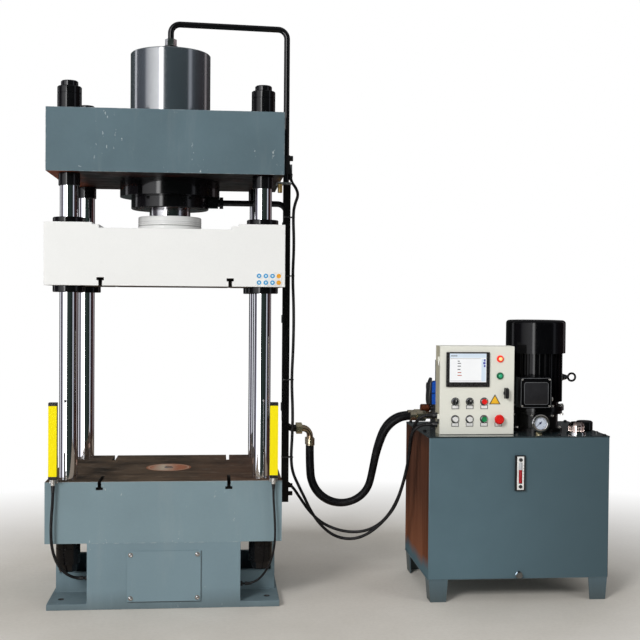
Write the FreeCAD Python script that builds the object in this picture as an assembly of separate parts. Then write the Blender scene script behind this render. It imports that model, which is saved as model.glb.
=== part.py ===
import FreeCAD, Part
import math
import os

os.makedirs("parts", exist_ok=True)

# A four-column hydraulic press beside its power unit. Millimetres, +Z up.
# The origin is the middle of the four floor anchors, at the underside of the foot plates.
# The operator stands on the -Y side. The power unit stands at +X and two hoses join them.

Vector = FreeCAD.Vector
ALONG_X = Vector(1, 0, 0)
ALONG_Y = Vector(0, 1, 0)
ALONG_Z = Vector(0, 0, 1)

# ---------------------------------------------------------------- driving dimensions
# Clearances
fixed_gap = 0.1
running_gap = 0.3
seat_gap = 0.3

# Welded beams of the press frame
frame_width = 950.0
frame_depth = 716.0
table_top_z = 516.0
table_height = 248.0
crown_bottom_z = 1759.0
crown_height = 254.0
beam_wall = 25.0
table_top_skin = 50.0
table_bottom_skin = 30.0
crown_skin = 40.0
rib_thickness = 20.0
rib_pitch = 420.0
sleeve_wall = 22.0

# T-slots, open at the front and back edges of the table and of the slide
t_slot_pitch = 518.0
t_slot_neck = 14.0
t_slot_head = 28.0
t_slot_head_height = 11.0
t_slot_depth = 33.0
t_slot_length = 150.0

# Knock-out disc let into the table
disc_dia = 195.0
disc_thickness = 20.0
disc_lift_hole = 24.0

# Stand under the table
stand_inset = 167.0
stand_plate = 20.0
foot_plate = 24.0
foot_inset_x = 7.0
outer_leg_inset = 19.0
outer_leg_plate = 16.0
leg_inset_y = 180.0
low_bridge_height = 81.0
anchor_inset_x = 56.0
anchor_inset_y = 73.0
anchor_hole = 22.0
access_width = 240.0
access_height = 155.0
cover_width = 296.0
cover_height = 204.0
cover_thickness = 3.0
cover_bottom_z = 30.0
cover_screw_inset = 14.0
cover_screw_head = 12.0
cover_screw_height = 4.0

# Columns and their round nuts
column_dia = 75.0
column_inset_x = 83.5
column_inset_y = 75.0
column_chamfer = 4.0
column_stub = 23.0
column_stub_dia = 69.0
column_tail = 32.0
nut_dia = 97.0
nut_height = 93.0
nut_groove = 3.0
nut_slot = 10.0
nut_slot_depth = 5.0
collar_dia = 86.0
collar_height = 52.0

# Cylinder, ram and ram flange
bore_dia = 250.0
barrel_dia = 343.0
barrel_top_z = 2308.0
barrel_cap = 55.0
barrel_flange_dia = 428.0
barrel_flange_height = 69.0
crown_hub_dia = 425.0
gland_dia = 333.0
gland_height = 52.0
gland_spigot = 15.0
gland_bolt_circle = 290.0
gland_bolt_count = 8
gland_bolt_across = 24.0
gland_bolt_height = 12.0
gland_bolt_bore = 30.0
gland_bolt_depth = 14.0
ram_dia = 176.0
ram_nose_dia = 100.0
piston_height = 60.0
piston_top_gap = 31.0
piston_groove = 8.0
ram_flange_dia = 272.0
ram_seat_height = 29.0
ram_clamp_height = 39.5
ram_clamp_step = 0.5
ram_screw_circle = 232.0
ram_screw_count = 8
ram_screw_head = 16.0
ram_screw_bore = 18.0
ram_screw_height = 10.0
ram_screw_depth = 12.0

# Slide
slide_overhang = 6.0
slide_bottom_z = 1304.0
slide_height = 253.5
slide_top_skin = 35.0
slide_bottom_skin = 50.0
slide_recess = 22.0
slide_recess_inset = 126.5
slide_step = 8.0
slide_step_width = 27.0
bush_wall = 10.0
wiper_dia = 130.0
wiper_upper_height = 21.5
wiper_lower_height = 27.0
wiper_seat = 2.0
wiper_chamfer = 3.0

# Oil pipes on the right-hand side
pipe_dia = 26.0
pipe_bore = 19.0
pipe_bend = 40.0
head_pipe_rise = 135.0
rod_pipe_z = 1672.0
riser_reach = 32.0
head_riser_y = 40.0
rod_riser_y = 0.0
hose_port_z = 683.0
hose_union_reach = 51.0
port_flange_dia = 72.0
port_flange_height = 36.0
port_nut_across = 44.0
port_nut_height = 32.0
rod_port_block = 41.0
rod_union_length = 16.0
rod_port_neck_dia = 34.0

# Rail, pipe clamps and sensor
rail_width = 31.0
rail_depth = 22.0
rail_wall = 4.0
rail_bottom_z = 366.0
rail_front_y = -42.0
rail_bracket_plate = 8.0
rail_bracket_reach = 65.0
clamp_height = 34.0
clamp_z = (760.0, 1150.0, 1560.0)
clamp_margin = 8.0
table_block_bottom_z = 385.0
table_block_height = 70.0
rail_bolt_across = 17.0
rail_bolt_length = 18.0
sensor_dia = 20.0
sensor_length = 44.0
sensor_reach = 33.0
sensor_y = -72.0
switch_width = 32.0
switch_reach = 13.0
switch_saddle = 3.0
switch_bottom_z = 1808.0
switch_body_height = 42.0
switch_knob_dia = 24.0
switch_knob_z = 1878.0
switch_knob_reach = 17.0

# Light curtain at the front of the table
guard_inset = 36.0
guard_section = 33.0
guard_bottom_z = 532.0
guard_length = 305.0
guard_cap = 12.0
guard_plug_dia = 17.0
guard_plug_length = 27.0
guard_bracket_plate = 4.0
guard_bracket_foot = 36.0
guard_bracket_height = 104.0

# Oil tank
tank_x = 1085.0
tank_y = -346.0
tank_width = 772.0
tank_depth = 541.0
tank_bottom_z = 94.0
tank_height = 590.0
tank_wall = 5.0
lid_thickness = 6.0
foot_top_width = 81.0
foot_bottom_width = 67.0
foot_inset = 4.0
foot_sheet = 6.0
level_x = 1470.0
level_z = 538.0
level_width = 43.0
level_height = 147.0
level_thickness = 12.0
level_window_width = 15.0
level_window_height = 88.0
level_screw_pitch = 112.0
drain_z = 103.0
drain_boss_dia = 30.0
drain_boss_length = 6.0
drain_hex_across = 24.0
drain_hex_length = 12.0
filler_inset = 115.0
filler_y = -257.0
filler_flange_dia = 82.0
filler_flange_height = 8.0
filler_neck_dia = 44.0
filler_neck_height = 22.0
filler_cap_dia = 66.0
filler_cap_height = 40.0
filler_cap_wall = 4.0
filter_inset = 42.0
filter_y = -150.0
filter_dia = 72.0
filter_height = 42.0

# Motor and pump
motor_x = 1603.0
motor_y = -110.0
bell_dia = 200.0
bell_flange_dia = 236.0
bell_flange = 14.0
bell_height = 90.0
bell_bore = 150.0
motor_flange_dia = 250.0
motor_flange = 20.0
motor_body_dia = 204.0
motor_body_height = 229.0
stator_bore = 116.0
motor_end_wall = 18.0
fin_count = 28
fin_reach = 15.0
fin_thickness = 5.0
cowl_dia = 258.0
cowl_height = 143.0
cowl_wall = 3.0
cowl_round = 14.0
cowl_grille_dia = 190.0
cowl_slot_width = 9.0
cowl_slot_count = 12
shaft_dia = 38.0
rotor_core_dia = 112.0
rotor_core_height = 150.0
shaft_tail = 45.0
fan_dia = 196.0
fan_height = 34.0
fan_blades = 7
fan_blade_thickness = 4.0
terminal_x = 1550.0
terminal_width = 134.0
terminal_height = 128.0
terminal_depth = 72.0
terminal_bottom_z = 804.0
terminal_lid = 10.0
terminal_round = 8.0
eye_z = 921.0
eye_ring_dia = 33.0
eye_wire_dia = 9.0
eye_shank = 51.0
eye_foot_dia = 15.0
pump_width = 130.0
pump_depth = 110.0
pump_height = 150.0
suction_dia = 42.0
strainer_dia = 90.0
strainer_height = 140.0
strainer_floor_gap = 60.0

# Valves on the tank
manifold_x = 1152.0
manifold_width = 150.0
manifold_y = -146.0
manifold_depth = 118.0
manifold_height = 112.0
valve_height = 46.0
valve_body_x = 1142.0
valve_body_length = 105.0
valve_body_depth = 62.0
valve_gap = 4.0
coil_dia = 42.0
coil_length = 18.0
cap_coil_height = 92.0
cap_coil_inset = 44.0
relief_z = 783.5
relief_y = -92.0
relief_dia = 35.0
relief_length = 44.0
relief_stem_dia = 16.0
relief_stem = 12.0

# Pressure gauge
gauge_x = 1567.0
gauge_y = -300.0
gauge_z = 741.0
gauge_dia = 74.0
gauge_depth = 30.0
gauge_rim = 10.0
gauge_recess = 6.0
gauge_stem_dia = 14.0
needle_length = 21.0
needle_tail = 9.0
needle_width = 3.0
needle_thickness = 1.2
needle_hub = 8.0

# Hoses and cables
hose_dia = 33.0
hose_pitch = 60.0
rod_hose_y = -122.0
hose_end_z = 752.0
hose_drop_reach = 62.0
hose_elbow_dia = 25.0
hose_elbow_bend = 33.0
hose_nut_across = 40.0
hose_nut_length = 26.0
ferrule_wall = 3.3
ferrule_length = 28.0
ferrule_end = 3.0
hose_drop_z = 637.0
tank_ferrule_x = 1072.0
tank_nut_x = 1112.0
tank_adaptor_dia = 26.0
rail_cable_dia = 13.0
rail_cable_reach = 20.0
control_exit_y = 88.0
control_exit_z = 440.0
control_cable_dia = 13.0
left_guard_cable_dia = 12.0
right_guard_cable_dia = 9.0
guard_gland_dia = 20.0
guard_gland_length = 10.0
guard_entry_inset = 46.0
left_entry_z = 118.0
right_entry_z = 84.0

# Control cabinet
cabinet_x = 1143.0
cabinet_width = 319.0
cabinet_y = -276.0
cabinet_depth = 90.0
cabinet_height = 373.0
cabinet_sheet = 2.5
cabinet_lip = 10.0
door_thickness = 14.0
door_sheet = 2.5
door_gap = 0.5
hinge_dia = 8.0
hinge_pin_dia = 4.0
hinge_length = 40.0
hinge_inset = 45.0
panel_x = 1261.0
panel_z = 965.0
panel_width = 186.0
panel_height = 147.0
panel_bezel = 6.0
panel_body_margin = 8.0
panel_body_depth = 30.0
panel_screen_width = 160.0
panel_screen_height = 124.0
panel_screen_recess = 1.5
panel_screen_rise = 7.0
button_pitch = 62.0
button_x = 1209.0
upper_row_z = 829.0
lower_row_z = 755.0
lamp_x = 1400.0
lamp_red_z = 1010.0
lamp_green_z = 938.0
latch_x = 1427.0
latch_z = 865.0
bezel_dia = 30.0
bezel_height = 6.0
bezel_bore = 23.0
bezel_neck_dia = 22.0
bezel_neck_bore = 18.0
bezel_neck = 22.0
contact_width = 26.0
contact_height = 34.0
contact_depth = 14.0
cap_dia = 22.2
cap_proud = 4.0
cap_stem_dia = 10.0
button_travel = 4.0
mushroom_dia = 42.0
mushroom_height = 16.0
mushroom_lift = 8.0
knob_bar_length = 21.0
knob_bar_width = 7.0
knob_bar_height = 12.0
lens_height = 9.0
label_width = 27.0
label_height = 13.0
label_drop = 22.5
label_thickness = 1.0
sign_x = 1379.0
sign_z = 832.0
sign_side = 48.0
latch_dia = 24.0
latch_base = 6.0
latch_wing_length = 44.0
latch_wing_width = 15.0
latch_wing_height = 16.0
latch_cam_length = 26.0
latch_cam_width = 12.0
latch_cam_plate = 3.0
latch_stem_dia = 12.0
plate_margin = 18.0
plate_thickness = 2.0
contactor_width = 45.0
contactor_height = 75.0
contactor_depth = 30.0
contactor_count = 4
contactor_pitch = 58.0
cable_gland_dia = 24.0
cable_gland_length = 22.0
lower_gland_rise = 38.0
upper_gland_rise = 76.0

# ---------------------------------------------------------------- derived places
table_bottom_z = table_top_z - table_height
crown_top_z = crown_bottom_z + crown_height
front_y = -frame_depth / 2
side_x = frame_width / 2
column_x = side_x - column_inset_x
column_y = -front_y - column_inset_y
stand_half = side_x - stand_inset
foot_end_x = side_x - foot_inset_x
outer_leg_x = side_x - outer_leg_inset
leg_half_y = -front_y - leg_inset_y
anchor_x = side_x - anchor_inset_x
anchor_y = -front_y - anchor_inset_y
slide_width = frame_width + 2 * slide_overhang
slide_recess_width = 2 * (column_x - slide_recess_inset)
piston_top_z = barrel_top_z - barrel_cap - piston_top_gap
head_pipe_z = barrel_top_z + head_pipe_rise
riser_x = side_x + riser_reach
hose_union_x = riser_x + hose_union_reach
hose_drop_x = hose_union_x + hose_drop_reach
sensor_x = riser_x - sensor_reach
guard_x = side_x - guard_inset
guard_entry_y = front_y + guard_entry_inset
filler_x = tank_x + tank_width - filler_inset
filter_x = tank_x + tank_width - filter_inset
column_top_z = crown_top_z + nut_height + column_stub
column_bottom_z = table_bottom_z - nut_height - column_tail
slide_top_z = slide_bottom_z + slide_height
slide_seat_z = slide_top_z - slide_recess
gland_top_z = crown_bottom_z - barrel_flange_height
gland_bottom_z = gland_top_z - gland_height
lid_top_z = tank_bottom_z + tank_height + lid_thickness
tank_front_y = tank_y
cabinet_bottom_z = lid_top_z
cabinet_back_y = cabinet_y + cabinet_depth
cabinet_face_y = cabinet_y + door_thickness
cable_gland_y = (cabinet_face_y + cabinet_back_y) / 2
cable_end_x = cabinet_x - cable_gland_length
motor_base_z = lid_top_z + bell_height
motor_body_z = motor_base_z + motor_flange
cowl_bottom_z = motor_body_z + motor_body_height
cowl_top_z = cowl_bottom_z + cowl_height
guard_back_y = front_y - guard_bracket_plate
guard_y = guard_back_y - guard_section / 2


# ---------------------------------------------------------------- helpers
def block(x0, x1, y0, y1, z0, z1):
    """Upright box between two corners."""
    return Part.makeBox(x1 - x0, y1 - y0, z1 - z0, Vector(x0, y0, z0))


def centred_block(width, depth, z0, z1):
    """Upright box centred on the Z axis."""
    return block(-width / 2, width / 2, -depth / 2, depth / 2, z0, z1)


def rod(dia, start, end):
    """Round bar between two points."""
    reach = end - start
    return Part.makeCylinder(dia / 2, reach.Length, start, reach)


def turned(profile):
    """Piece turned about the Z axis from (radius, height) pairs."""
    corners = [Vector(radius, 0, height) for radius, height in profile]
    face = Part.Face(Part.makePolygon(corners + corners[:1]))
    solid = face.revolve(Vector(), ALONG_Z, 360)
    if solid.Volume < 0:
        solid.reverse()
    return solid


def ring(outer_dia, inner_dia, z0, z1, chamfer=0.0):
    """Turned ring about the Z axis with chamfered outer edges."""
    outer = outer_dia / 2
    inner = inner_dia / 2
    if chamfer == 0.0:
        return turned([(inner, z0), (outer, z0), (outer, z1), (inner, z1)])
    return turned([
        (inner, z0), (outer - chamfer, z0), (outer, z0 + chamfer),
        (outer, z1 - chamfer), (outer - chamfer, z1), (inner, z1),
    ])


def hexagon(across, height):
    """Hexagonal prism standing on the origin."""
    radius = across / math.sqrt(3)
    corners = [
        Vector(radius * math.cos(math.radians(60 * k)), radius * math.sin(math.radians(60 * k)), 0)
        for k in range(6)
    ]
    return Part.Face(Part.makePolygon(corners + corners[:1])).extrude(Vector(0, 0, height))


def placed(shape, place, axis=ALONG_Z):
    """Copy of a shape whose own Z axis is turned to the given axis, at the given place."""
    copy = shape.copy()
    copy.Placement = FreeCAD.Placement(place, FreeCAD.Rotation(ALONG_Z, axis))
    return copy


def around(shape, count, centre, first=0.0):
    """Copies of a shape spaced evenly about the vertical through a point."""
    copies = []
    for index in range(count):
        copy = shape.copy()
        copy.rotate(centre, ALONG_Z, first + 360.0 * index / count)
        copies.append(copy)
    return copies


def at_columns(shape):
    """Copies of a shape drawn about the Z axis, one on each column centre."""
    places = [Vector(sx * column_x, sy * column_y, 0) for sx in (-1, 1) for sy in (-1, 1)]
    return [placed(shape, place) for place in places]


def joined(pieces):
    """Several touching shapes as one piece."""
    return pieces[0].multiFuse(pieces[1:]).removeSplitter()


def save(node, shape):
    """Write one sub-part, a single piece or a list of like pieces."""
    if isinstance(shape, list):
        shape = Part.makeCompound(shape)
    shape.exportStep("parts/" + node + ".step")


def bent_wire(points, bend_radius):
    """Straight runs joined by arcs of one radius, as a tube bender makes them."""
    edges = []
    last = points[0]
    for before, corner, after in zip(points, points[1:], points[2:]):
        back = (before - corner).normalize()
        ahead = (after - corner).normalize()
        half_turn = (math.pi - back.getAngle(ahead)) / 2
        reach = bend_radius * math.tan(half_turn)
        inward = (back + ahead).normalize()
        middle = corner + inward * (bend_radius / math.cos(half_turn) - bend_radius)
        start = corner + back * reach
        end = corner + ahead * reach
        edges.append(Part.LineSegment(last, start).toShape())
        edges.append(Part.Arc(start, middle, end).toShape())
        last = end
    edges.append(Part.LineSegment(last, points[-1]).toShape())
    return Part.Wire(edges)


def swept(wire, points, dia):
    """Round bar that follows a wire."""
    circle = Part.Circle(points[0], points[1] - points[0], dia / 2)
    section = Part.Wire([circle.toShape()])
    return wire.makePipeShell([section], True, False)


def cord(name, points, dia):
    """Hose or cable along hand-chosen points, each corner as round as its runs allow."""
    edges = []
    radii = []
    last = points[0]
    for before, corner, after in zip(points, points[1:], points[2:]):
        back = before - corner
        ahead = after - corner
        reach = 0.45 * min(back.Length, ahead.Length)
        back.normalize()
        ahead.normalize()
        half_turn = (math.pi - back.getAngle(ahead)) / 2
        radius = reach / math.tan(half_turn)
        inward = (back + ahead).normalize()
        middle = corner + inward * (radius / math.cos(half_turn) - radius)
        start = corner + back * reach
        end = corner + ahead * reach
        edges.append(Part.LineSegment(last, start).toShape())
        edges.append(Part.Arc(start, middle, end).toShape())
        radii.append(radius)
        last = end
    edges.append(Part.LineSegment(last, points[-1]).toShape())
    wire = Part.Wire(edges)
    tube = swept(wire, points, dia)
    expected = math.pi * dia ** 2 / 4 * wire.Length
    print(name, "length", round(wire.Length), "least radius", round(min(radii)),
          "in diameters", round(min(radii) / dia, 1), "volume ratio", round(tube.Volume / expected, 4))
    return tube


def laid(points, start, end, first, last):
    """Hand-chosen points moved along with the fittings at both ends. The run from first to last
    shares out the difference."""
    start_move = start - points[0]
    end_move = end - points[-1]
    moved = []
    for index, point in enumerate(points):
        share = min(1.0, max(0.0, (index - first) / (last - first)))
        moved.append(point + start_move * (1.0 - share) + end_move * share)
    return moved


# ---------------------------------------------------------------- press frame
def hollow_beam(width, bottom_z, top_z, bottom_skin, top_skin, inside):
    """Welded box beam with the given ribs, sleeves and hubs left standing inside."""
    hollow = centred_block(
        width - 2 * beam_wall, frame_depth - 2 * beam_wall, bottom_z + bottom_skin, top_z - top_skin)
    for piece in inside:
        hollow = hollow.cut(piece)
    return centred_block(width, frame_depth, bottom_z, top_z).cut(hollow)


def beam_ribs(bottom_z, top_z):
    """Two plates across the depth of a beam."""
    ribs = []
    for side in (-1, 1):
        middle = side * rib_pitch / 2
        ribs.append(block(
            middle - rib_thickness / 2, middle + rib_thickness / 2, front_y, -front_y, bottom_z, top_z))
    return ribs


def column_sleeves(bore, bottom_z, top_z):
    """Tubes inside a beam that the columns or their bushes pass through."""
    return at_columns(ring(bore + 2 * sleeve_wall, 0.0, bottom_z, top_z))


def t_slots(face_z, inward):
    """Cutters for the four slots in a face. Inward is -1 for a top face and 1 for an underside."""
    cutters = []
    deep_z = face_z + inward * t_slot_depth
    head_z = deep_z - inward * t_slot_head_height
    for side in (-1, 1):
        for end in (-1, 1):
            x = side * t_slot_pitch / 2
            y0, y1 = sorted((end * frame_depth / 2, end * (frame_depth / 2 - t_slot_length)))
            low, high = sorted((face_z, deep_z))
            cutters.append(block(x - t_slot_neck / 2, x + t_slot_neck / 2, y0, y1, low, high))
            low, high = sorted((head_z, deep_z))
            cutters.append(block(x - t_slot_head / 2, x + t_slot_head / 2, y0, y1, low, high))
    return cutters


def make_table():
    bore = column_dia + 2 * fixed_gap
    inside = beam_ribs(table_bottom_z, table_top_z) + column_sleeves(bore, table_bottom_z, table_top_z)
    table = hollow_beam(
        frame_width, table_bottom_z, table_top_z, table_bottom_skin, table_top_skin, inside)
    cutters = at_columns(ring(bore, 0.0, table_bottom_z, table_top_z))
    cutters += t_slots(table_top_z, -1)
    cutters.append(ring(disc_dia + 2 * fixed_gap, 0.0, table_top_z - disc_thickness, table_top_z))
    half = guard_section / 2 + fixed_gap
    for x in (-guard_x, guard_x):
        cutters.append(block(x - half, x + half, front_y, front_y + guard_bracket_foot + fixed_gap,
                             table_top_z - guard_bracket_plate, table_top_z))
    return table.cut(Part.makeCompound(cutters)).removeSplitter()


def make_stand():
    half = stand_half
    pieces = []
    for end in (-1, 1):
        y0, y1 = sorted((end * frame_depth / 2, end * (frame_depth / 2 - stand_plate)))
        pieces.append(block(-half, half, y0, y1, 0.0, table_bottom_z))
    for side in (-1, 1):
        x0, x1 = sorted((side * half, side * (half - stand_plate)))
        pieces.append(block(x0, x1, front_y, -front_y, 0.0, table_bottom_z))
        x0, x1 = sorted((side * half, side * foot_end_x))
        pieces.append(block(x0, x1, front_y, -front_y, 0.0, foot_plate))
        x0, x1 = sorted((side * outer_leg_x, side * (outer_leg_x - outer_leg_plate)))
        pieces.append(block(x0, x1, -leg_half_y, leg_half_y, foot_plate, table_bottom_z))
        x0, x1 = sorted((side * half, side * (outer_leg_x - outer_leg_plate)))
        for end in (-1, 1):
            y0, y1 = sorted((end * leg_half_y, end * (leg_half_y - stand_plate)))
            pieces.append(block(x0, x1, y0, y1, foot_plate, foot_plate + low_bridge_height))
    stand = joined(pieces)
    holes = [
        rod(anchor_hole, Vector(sx * anchor_x, sy * anchor_y, 0.0),
            Vector(sx * anchor_x, sy * anchor_y, foot_plate))
        for sx in (-1, 1) for sy in (-1, 1)
    ]
    middle_z = cover_bottom_z + cover_height / 2
    holes.append(block(
        -access_width / 2, access_width / 2, front_y, front_y + stand_plate,
        middle_z - access_height / 2, middle_z + access_height / 2))
    return stand.cut(Part.makeCompound(holes))


def make_crown():
    bore = column_dia + 2 * fixed_gap
    hub = ring(crown_hub_dia, 0.0, crown_bottom_z, crown_top_z)
    inside = beam_ribs(crown_bottom_z, crown_top_z) + column_sleeves(bore, crown_bottom_z, crown_top_z)
    crown = hollow_beam(frame_width, crown_bottom_z, crown_top_z, crown_skin, crown_skin, inside + [hub])
    cutters = at_columns(ring(bore, 0.0, crown_bottom_z, crown_top_z))
    cutters.append(ring(barrel_dia + 2 * fixed_gap, 0.0, crown_bottom_z, crown_top_z))
    return crown.cut(Part.makeCompound(cutters)).removeSplitter()


def make_column():
    """Column with its stub turned down above the upper nut."""
    radius = column_dia / 2
    stub = column_stub_dia / 2
    stub_z = column_top_z - column_stub
    return turned([
        (0.0, column_bottom_z), (radius - column_chamfer, column_bottom_z),
        (radius, column_bottom_z + column_chamfer), (radius, stub_z), (stub, stub_z),
        (stub, column_top_z - column_chamfer), (stub - column_chamfer, column_top_z), (0.0, column_top_z),
    ])


def make_column_nut(bottom_z):
    """Round nut with a locking part above its groove and four spanner slots."""
    inner = column_dia / 2 + fixed_gap
    outer = nut_dia / 2
    top_z = bottom_z + nut_height
    groove_z = bottom_z + nut_height * 2 / 3
    nut = turned([
        (inner, bottom_z), (outer, bottom_z), (outer, groove_z),
        (outer - nut_groove, groove_z), (outer - nut_groove, groove_z + nut_groove),
        (outer, groove_z + nut_groove), (outer, top_z - nut_groove), (outer - nut_groove, top_z),
        (inner, top_z),
    ])
    slot = block(outer - nut_slot_depth, outer + 1, -nut_slot / 2, nut_slot / 2,
                 groove_z + 2 * nut_groove, top_z)
    return nut.cut(Part.makeCompound(around(slot, 4, Vector())))


def make_cylinder_barrel():
    bore = bore_dia / 2
    outer = barrel_dia / 2
    inner_top_z = barrel_top_z - barrel_cap
    port = pipe_bore / 2
    return turned([
        (bore, gland_top_z), (barrel_flange_dia / 2, gland_top_z), (barrel_flange_dia / 2, crown_bottom_z),
        (outer, crown_bottom_z), (outer, barrel_top_z - column_chamfer),
        (outer - column_chamfer, barrel_top_z), (port, barrel_top_z), (port, inner_top_z),
        (bore, inner_top_z),
    ])


def make_gland():
    """Gland with its spigot, and the bolts sunk in counterbores of its underside."""
    inner = ram_dia / 2 + running_gap
    spigot = bore_dia / 2 - fixed_gap
    gland = turned([
        (inner, gland_bottom_z), (gland_dia / 2 - column_chamfer, gland_bottom_z),
        (gland_dia / 2, gland_bottom_z + column_chamfer), (gland_dia / 2, gland_top_z),
        (spigot, gland_top_z), (spigot, gland_top_z + gland_spigot), (inner, gland_top_z + gland_spigot),
    ])
    bolt_x = gland_bolt_circle / 2
    floor_z = gland_bottom_z + gland_bolt_depth
    first = 180.0 / gland_bolt_count
    bore = rod(gland_bolt_bore, Vector(bolt_x, 0.0, gland_bottom_z), Vector(bolt_x, 0.0, floor_z))
    gland = gland.cut(Part.makeCompound(around(bore, gland_bolt_count, Vector(), first)))
    head = placed(hexagon(gland_bolt_across, gland_bolt_height),
                  Vector(bolt_x, 0.0, floor_z - gland_bolt_height))
    return [gland] + around(head, gland_bolt_count, Vector(), first)


def make_piston():
    outer = bore_dia / 2 - running_gap
    inner = ram_nose_dia / 2 + fixed_gap
    bottom_z = piston_top_z - piston_height
    groove_z = bottom_z + (piston_height - piston_groove) / 2
    return turned([
        (inner, bottom_z), (outer, bottom_z), (outer, groove_z), (outer - piston_groove, groove_z),
        (outer - piston_groove, groove_z + piston_groove), (outer, groove_z + piston_groove),
        (outer, piston_top_z), (inner, piston_top_z),
    ])


def make_ram():
    shoulder_z = piston_top_z - piston_height
    return turned([
        (0.0, slide_seat_z), (ram_dia / 2, slide_seat_z), (ram_dia / 2, shoulder_z),
        (ram_nose_dia / 2, shoulder_z), (ram_nose_dia / 2, piston_top_z), (0.0, piston_top_z),
    ])


def make_ram_flange():
    """Seat ring and clamp ring that hold the ram to the slide, with cap screws sunk in the clamp."""
    inner = ram_dia / 2 + fixed_gap
    joint_z = slide_seat_z + ram_seat_height
    top_z = joint_z + ram_clamp_height
    seat = ring(ram_flange_dia, 2 * inner, slide_seat_z, joint_z)
    clamp = ring(ram_flange_dia - 2 * ram_clamp_step, 2 * inner, joint_z, top_z, wiper_chamfer)
    floor_z = top_z - ram_screw_depth
    bore = rod(ram_screw_bore, Vector(ram_screw_circle / 2, 0.0, floor_z),
               Vector(ram_screw_circle / 2, 0.0, top_z))
    screw = rod(ram_screw_head, Vector(ram_screw_circle / 2, 0.0, floor_z),
                Vector(ram_screw_circle / 2, 0.0, floor_z + ram_screw_height))
    first = 180.0 / ram_screw_count
    clamp = clamp.cut(Part.makeCompound(around(bore, ram_screw_count, Vector(), first)))
    return [seat, clamp] + around(screw, ram_screw_count, Vector(), first)


def make_slide():
    bush_dia = column_dia + 2 * running_gap + 2 * bush_wall
    bore = bush_dia + 2 * fixed_gap
    hub = ring(ram_flange_dia, 0.0, slide_bottom_z, slide_top_z)
    inside = beam_ribs(slide_bottom_z, slide_top_z) + column_sleeves(bore, slide_bottom_z, slide_top_z)
    slide = hollow_beam(slide_width, slide_bottom_z, slide_top_z, slide_bottom_skin,
                        slide_top_skin + slide_recess, inside + [hub])
    cutters = at_columns(ring(bore, 0.0, slide_bottom_z, slide_top_z))
    cutters += at_columns(ring(wiper_dia + 2 * fixed_gap, 0.0, slide_bottom_z, slide_bottom_z + wiper_seat))
    cutters += t_slots(slide_bottom_z, 1)
    cutters.append(centred_block(slide_recess_width, frame_depth, slide_seat_z, slide_top_z))
    cutters.append(centred_block(
        slide_recess_width + 2 * slide_step_width, frame_depth, slide_top_z - slide_step, slide_top_z))
    return slide.cut(Part.makeCompound(cutters)).removeSplitter()


def make_guide_bush():
    inner = column_dia + 2 * running_gap
    return ring(inner + 2 * bush_wall, inner, slide_bottom_z + wiper_seat, slide_top_z)


def make_wiper_rings():
    inner = column_dia + 2 * running_gap
    upper = ring(wiper_dia, inner, slide_top_z, slide_top_z + wiper_upper_height, wiper_chamfer)
    lower = ring(wiper_dia, inner, slide_bottom_z - wiper_lower_height, slide_bottom_z + wiper_seat,
                 wiper_chamfer)
    return at_columns(upper) + at_columns(lower)


save("table_body", make_table())
save("base_stand", make_stand())
save("crown", make_crown())
save("columns", at_columns(make_column()))
save("column_nuts",
     at_columns(make_column_nut(crown_top_z))
     + at_columns(make_column_nut(table_bottom_z - nut_height))
     + at_columns(ring(collar_dia, column_dia + 2 * fixed_gap, crown_bottom_z - collar_height,
                       crown_bottom_z, column_chamfer / 2)))
save("knockout_disc",
     ring(disc_dia, disc_lift_hole, table_top_z - disc_thickness, table_top_z, 1.0))

cover_top_z = cover_bottom_z + cover_height
cover = [block(-cover_width / 2, cover_width / 2, front_y - cover_thickness, front_y,
               cover_bottom_z, cover_top_z)]
for side in (-1, 1):
    for z in (cover_bottom_z + cover_screw_inset, cover_top_z - cover_screw_inset):
        head_x = side * (cover_width / 2 - cover_screw_inset)
        cover.append(rod(
            cover_screw_head, Vector(head_x, front_y - cover_thickness, z),
            Vector(head_x, front_y - cover_thickness - cover_screw_height, z)))
save("base_cover", cover)

save("cylinder_barrel", make_cylinder_barrel())
save("cylinder_gland", make_gland())
save("piston", make_piston())
save("ram", make_ram())
save("ram_flange", make_ram_flange())
save("slide_plate", make_slide())
save("guide_bushes", at_columns(make_guide_bush()))
save("wiper_rings", make_wiper_rings())


# ---------------------------------------------------------------- oil pipes on the press
def bent_pipe(points):
    """Steel pipe with its true bore, bent along the given points."""
    wire = bent_wire(points, pipe_bend)
    return swept(wire, points, pipe_dia).cut(swept(wire, points, pipe_bore))


head_nut_top_z = barrel_top_z + port_flange_height + port_nut_height
head_pipe_points = [
    Vector(0.0, 0.0, head_nut_top_z),
    Vector(0.0, 0.0, head_pipe_z),
    Vector(riser_x, head_riser_y, head_pipe_z),
    Vector(riser_x, head_riser_y, hose_port_z),
    Vector(hose_union_x, head_riser_y, hose_port_z),
]
rod_port_x = gland_dia / 2 + rod_port_block
rod_union_x = barrel_flange_dia / 2 + seat_gap
rod_pipe_points = [
    Vector(rod_union_x + rod_union_length, rod_riser_y, rod_pipe_z),
    Vector(riser_x, rod_riser_y, rod_pipe_z),
    Vector(riser_x, rod_riser_y, hose_port_z),
    Vector(hose_union_x, rod_riser_y, hose_port_z),
]
save("oil_pipes", [bent_pipe(head_pipe_points), bent_pipe(rod_pipe_points)])


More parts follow.
